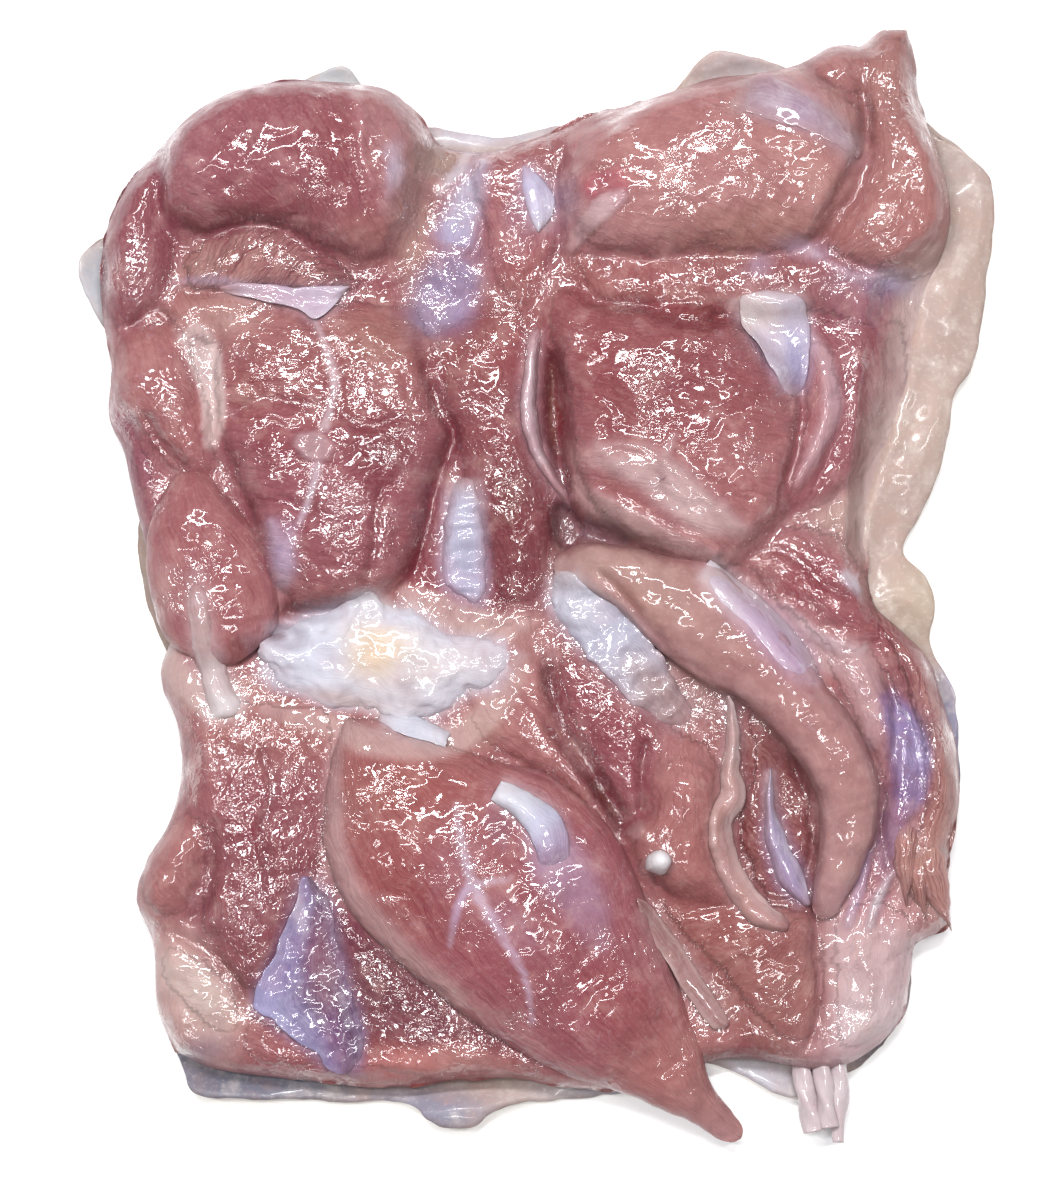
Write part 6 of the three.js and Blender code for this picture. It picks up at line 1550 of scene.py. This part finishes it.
def props(context):
    """This add-on's settings."""
    return context.scene.chicken_thigh


class LaySkin(bpy.types.Operator):
    """Lay the skin on the table"""
    bl_idname = "chicken.lay_skin"
    bl_label = "Lay Skin"

    def execute(self, context):
        skin_sheet(props(context).skin)
        return {"FINISHED"}


class LayFlesh(bpy.types.Operator):
    """Lay the joined meat on the skin"""
    bl_idname = "chicken.lay_flesh"
    bl_label = "Lay Flesh"

    def execute(self, context):
        flesh_bed(props(context).flesh)
        return {"FINISHED"}


class LayMuscles(bpy.types.Operator):
    """Lay the free-standing muscles on the joined meat"""
    bl_idname = "chicken.lay_muscles"
    bl_label = "Lay Proud Muscles"

    def execute(self, context):
        for muscle in MUSCLES:
            if muscle.get("proud"):
                proud_muscle(muscle, props(context).flesh.spacing)
        return {"FINISHED"}


class LayCartilage(bpy.types.Operator):
    """Lay the knee's cartilage and the loose chip"""
    bl_idname = "chicken.lay_cartilage"
    bl_label = "Lay Cartilage"

    def execute(self, context):
        for strip in CARTILAGE:
            draped_strip(strip)
        return {"FINISHED"}


class LayTendons(bpy.types.Operator):
    """Lay the tendons, flaps and membranes"""
    bl_idname = "chicken.lay_tendons"
    bl_label = "Lay Tendons"

    def execute(self, context):
        for strip in TENDONS:
            draped_strip(strip)
        shank_bundle()
        return {"FINISHED"}


class SetStage(bpy.types.Operator):
    """Set up the floor, the lights and the camera"""
    bl_idname = "chicken.set_stage"
    bl_label = "Set Stage"

    def execute(self, context):
        settings = props(context).stage
        mesh = bpy.data.meshes.new("floor")
        mesh.from_pydata([(-2, -2, 0), (2, -2, 0), (2, 2, 0), (-2, 2, 0)], [], [(0, 1, 2, 3)])
        floor = bpy.data.objects.new("floor", mesh)
        context.scene.collection.objects.link(floor)
        material, _, shader = new_material("pale floor", Roughness=0.6, Specular_IOR_Level=0.2)
        shader.inputs["Base Color"].default_value = (*settings.floor, 1)
        mesh.materials.append(material)
        for name, place, size, power in LAMPS:
            area_light(name, place, (0, 0, 0), size, power)
        world = context.scene.world or bpy.data.worlds.new("studio")
        context.scene.world = world
        world.use_nodes = True
        background = world.node_tree.nodes["Background"]
        background.inputs["Color"].default_value = (1.0, 1.0, 1.0, 1)
        background.inputs["Strength"].default_value = 0.25
        context.scene.view_settings.view_transform = "Standard"
        data = bpy.data.cameras.new("camera")
        data.sensor_width = SENSOR
        data.lens = SENSOR / 2 * settings.distance / (settings.view_height / 2)
        camera = bpy.data.objects.new("camera", data)
        x, y, z = CAMERA_AIM
        back = settings.distance
        camera.location = (x, y - back * math.sin(settings.tilt), z + back * math.cos(settings.tilt))
        camera.rotation_euler = (settings.tilt, 0, 0)
        context.scene.collection.objects.link(camera)
        context.scene.camera = camera
        return {"FINISHED"}


STEPS = (SetStage, LaySkin, LayFlesh, LayMuscles, LayCartilage, LayTendons)


class ThighPanel(bpy.types.Panel):
    """Lists the steps that build the thigh"""
    bl_idname = "VIEW3D_PT_chicken_thigh"
    bl_label = "Chicken Thigh"
    bl_space_type = "VIEW_3D"
    bl_region_type = "UI"
    bl_category = "Chicken Thigh"

    def draw(self, context):
        for step in STEPS:
            self.layout.operator(step.bl_idname)
        for group in (props(context).skin, props(context).flesh, props(context).stage):
            for name in group.__annotations__:
                self.layout.prop(group, name)


CLASSES = (SkinSettings, FleshSettings, StageSettings, ThighProps, *STEPS, ThighPanel)


def register():
    for cls in CLASSES:
        bpy.utils.register_class(cls)
    bpy.types.Scene.chicken_thigh = PointerProperty(type=ThighProps)


def unregister():
    del bpy.types.Scene.chicken_thigh
    for cls in reversed(CLASSES):
        bpy.utils.unregister_class(cls)


def main():
    """Builds the piece step by step."""
    register()
    for step in STEPS:
        space, name = step.bl_idname.split(".")
        getattr(getattr(bpy.ops, space), name)()


if __name__ == "__main__":
    main()
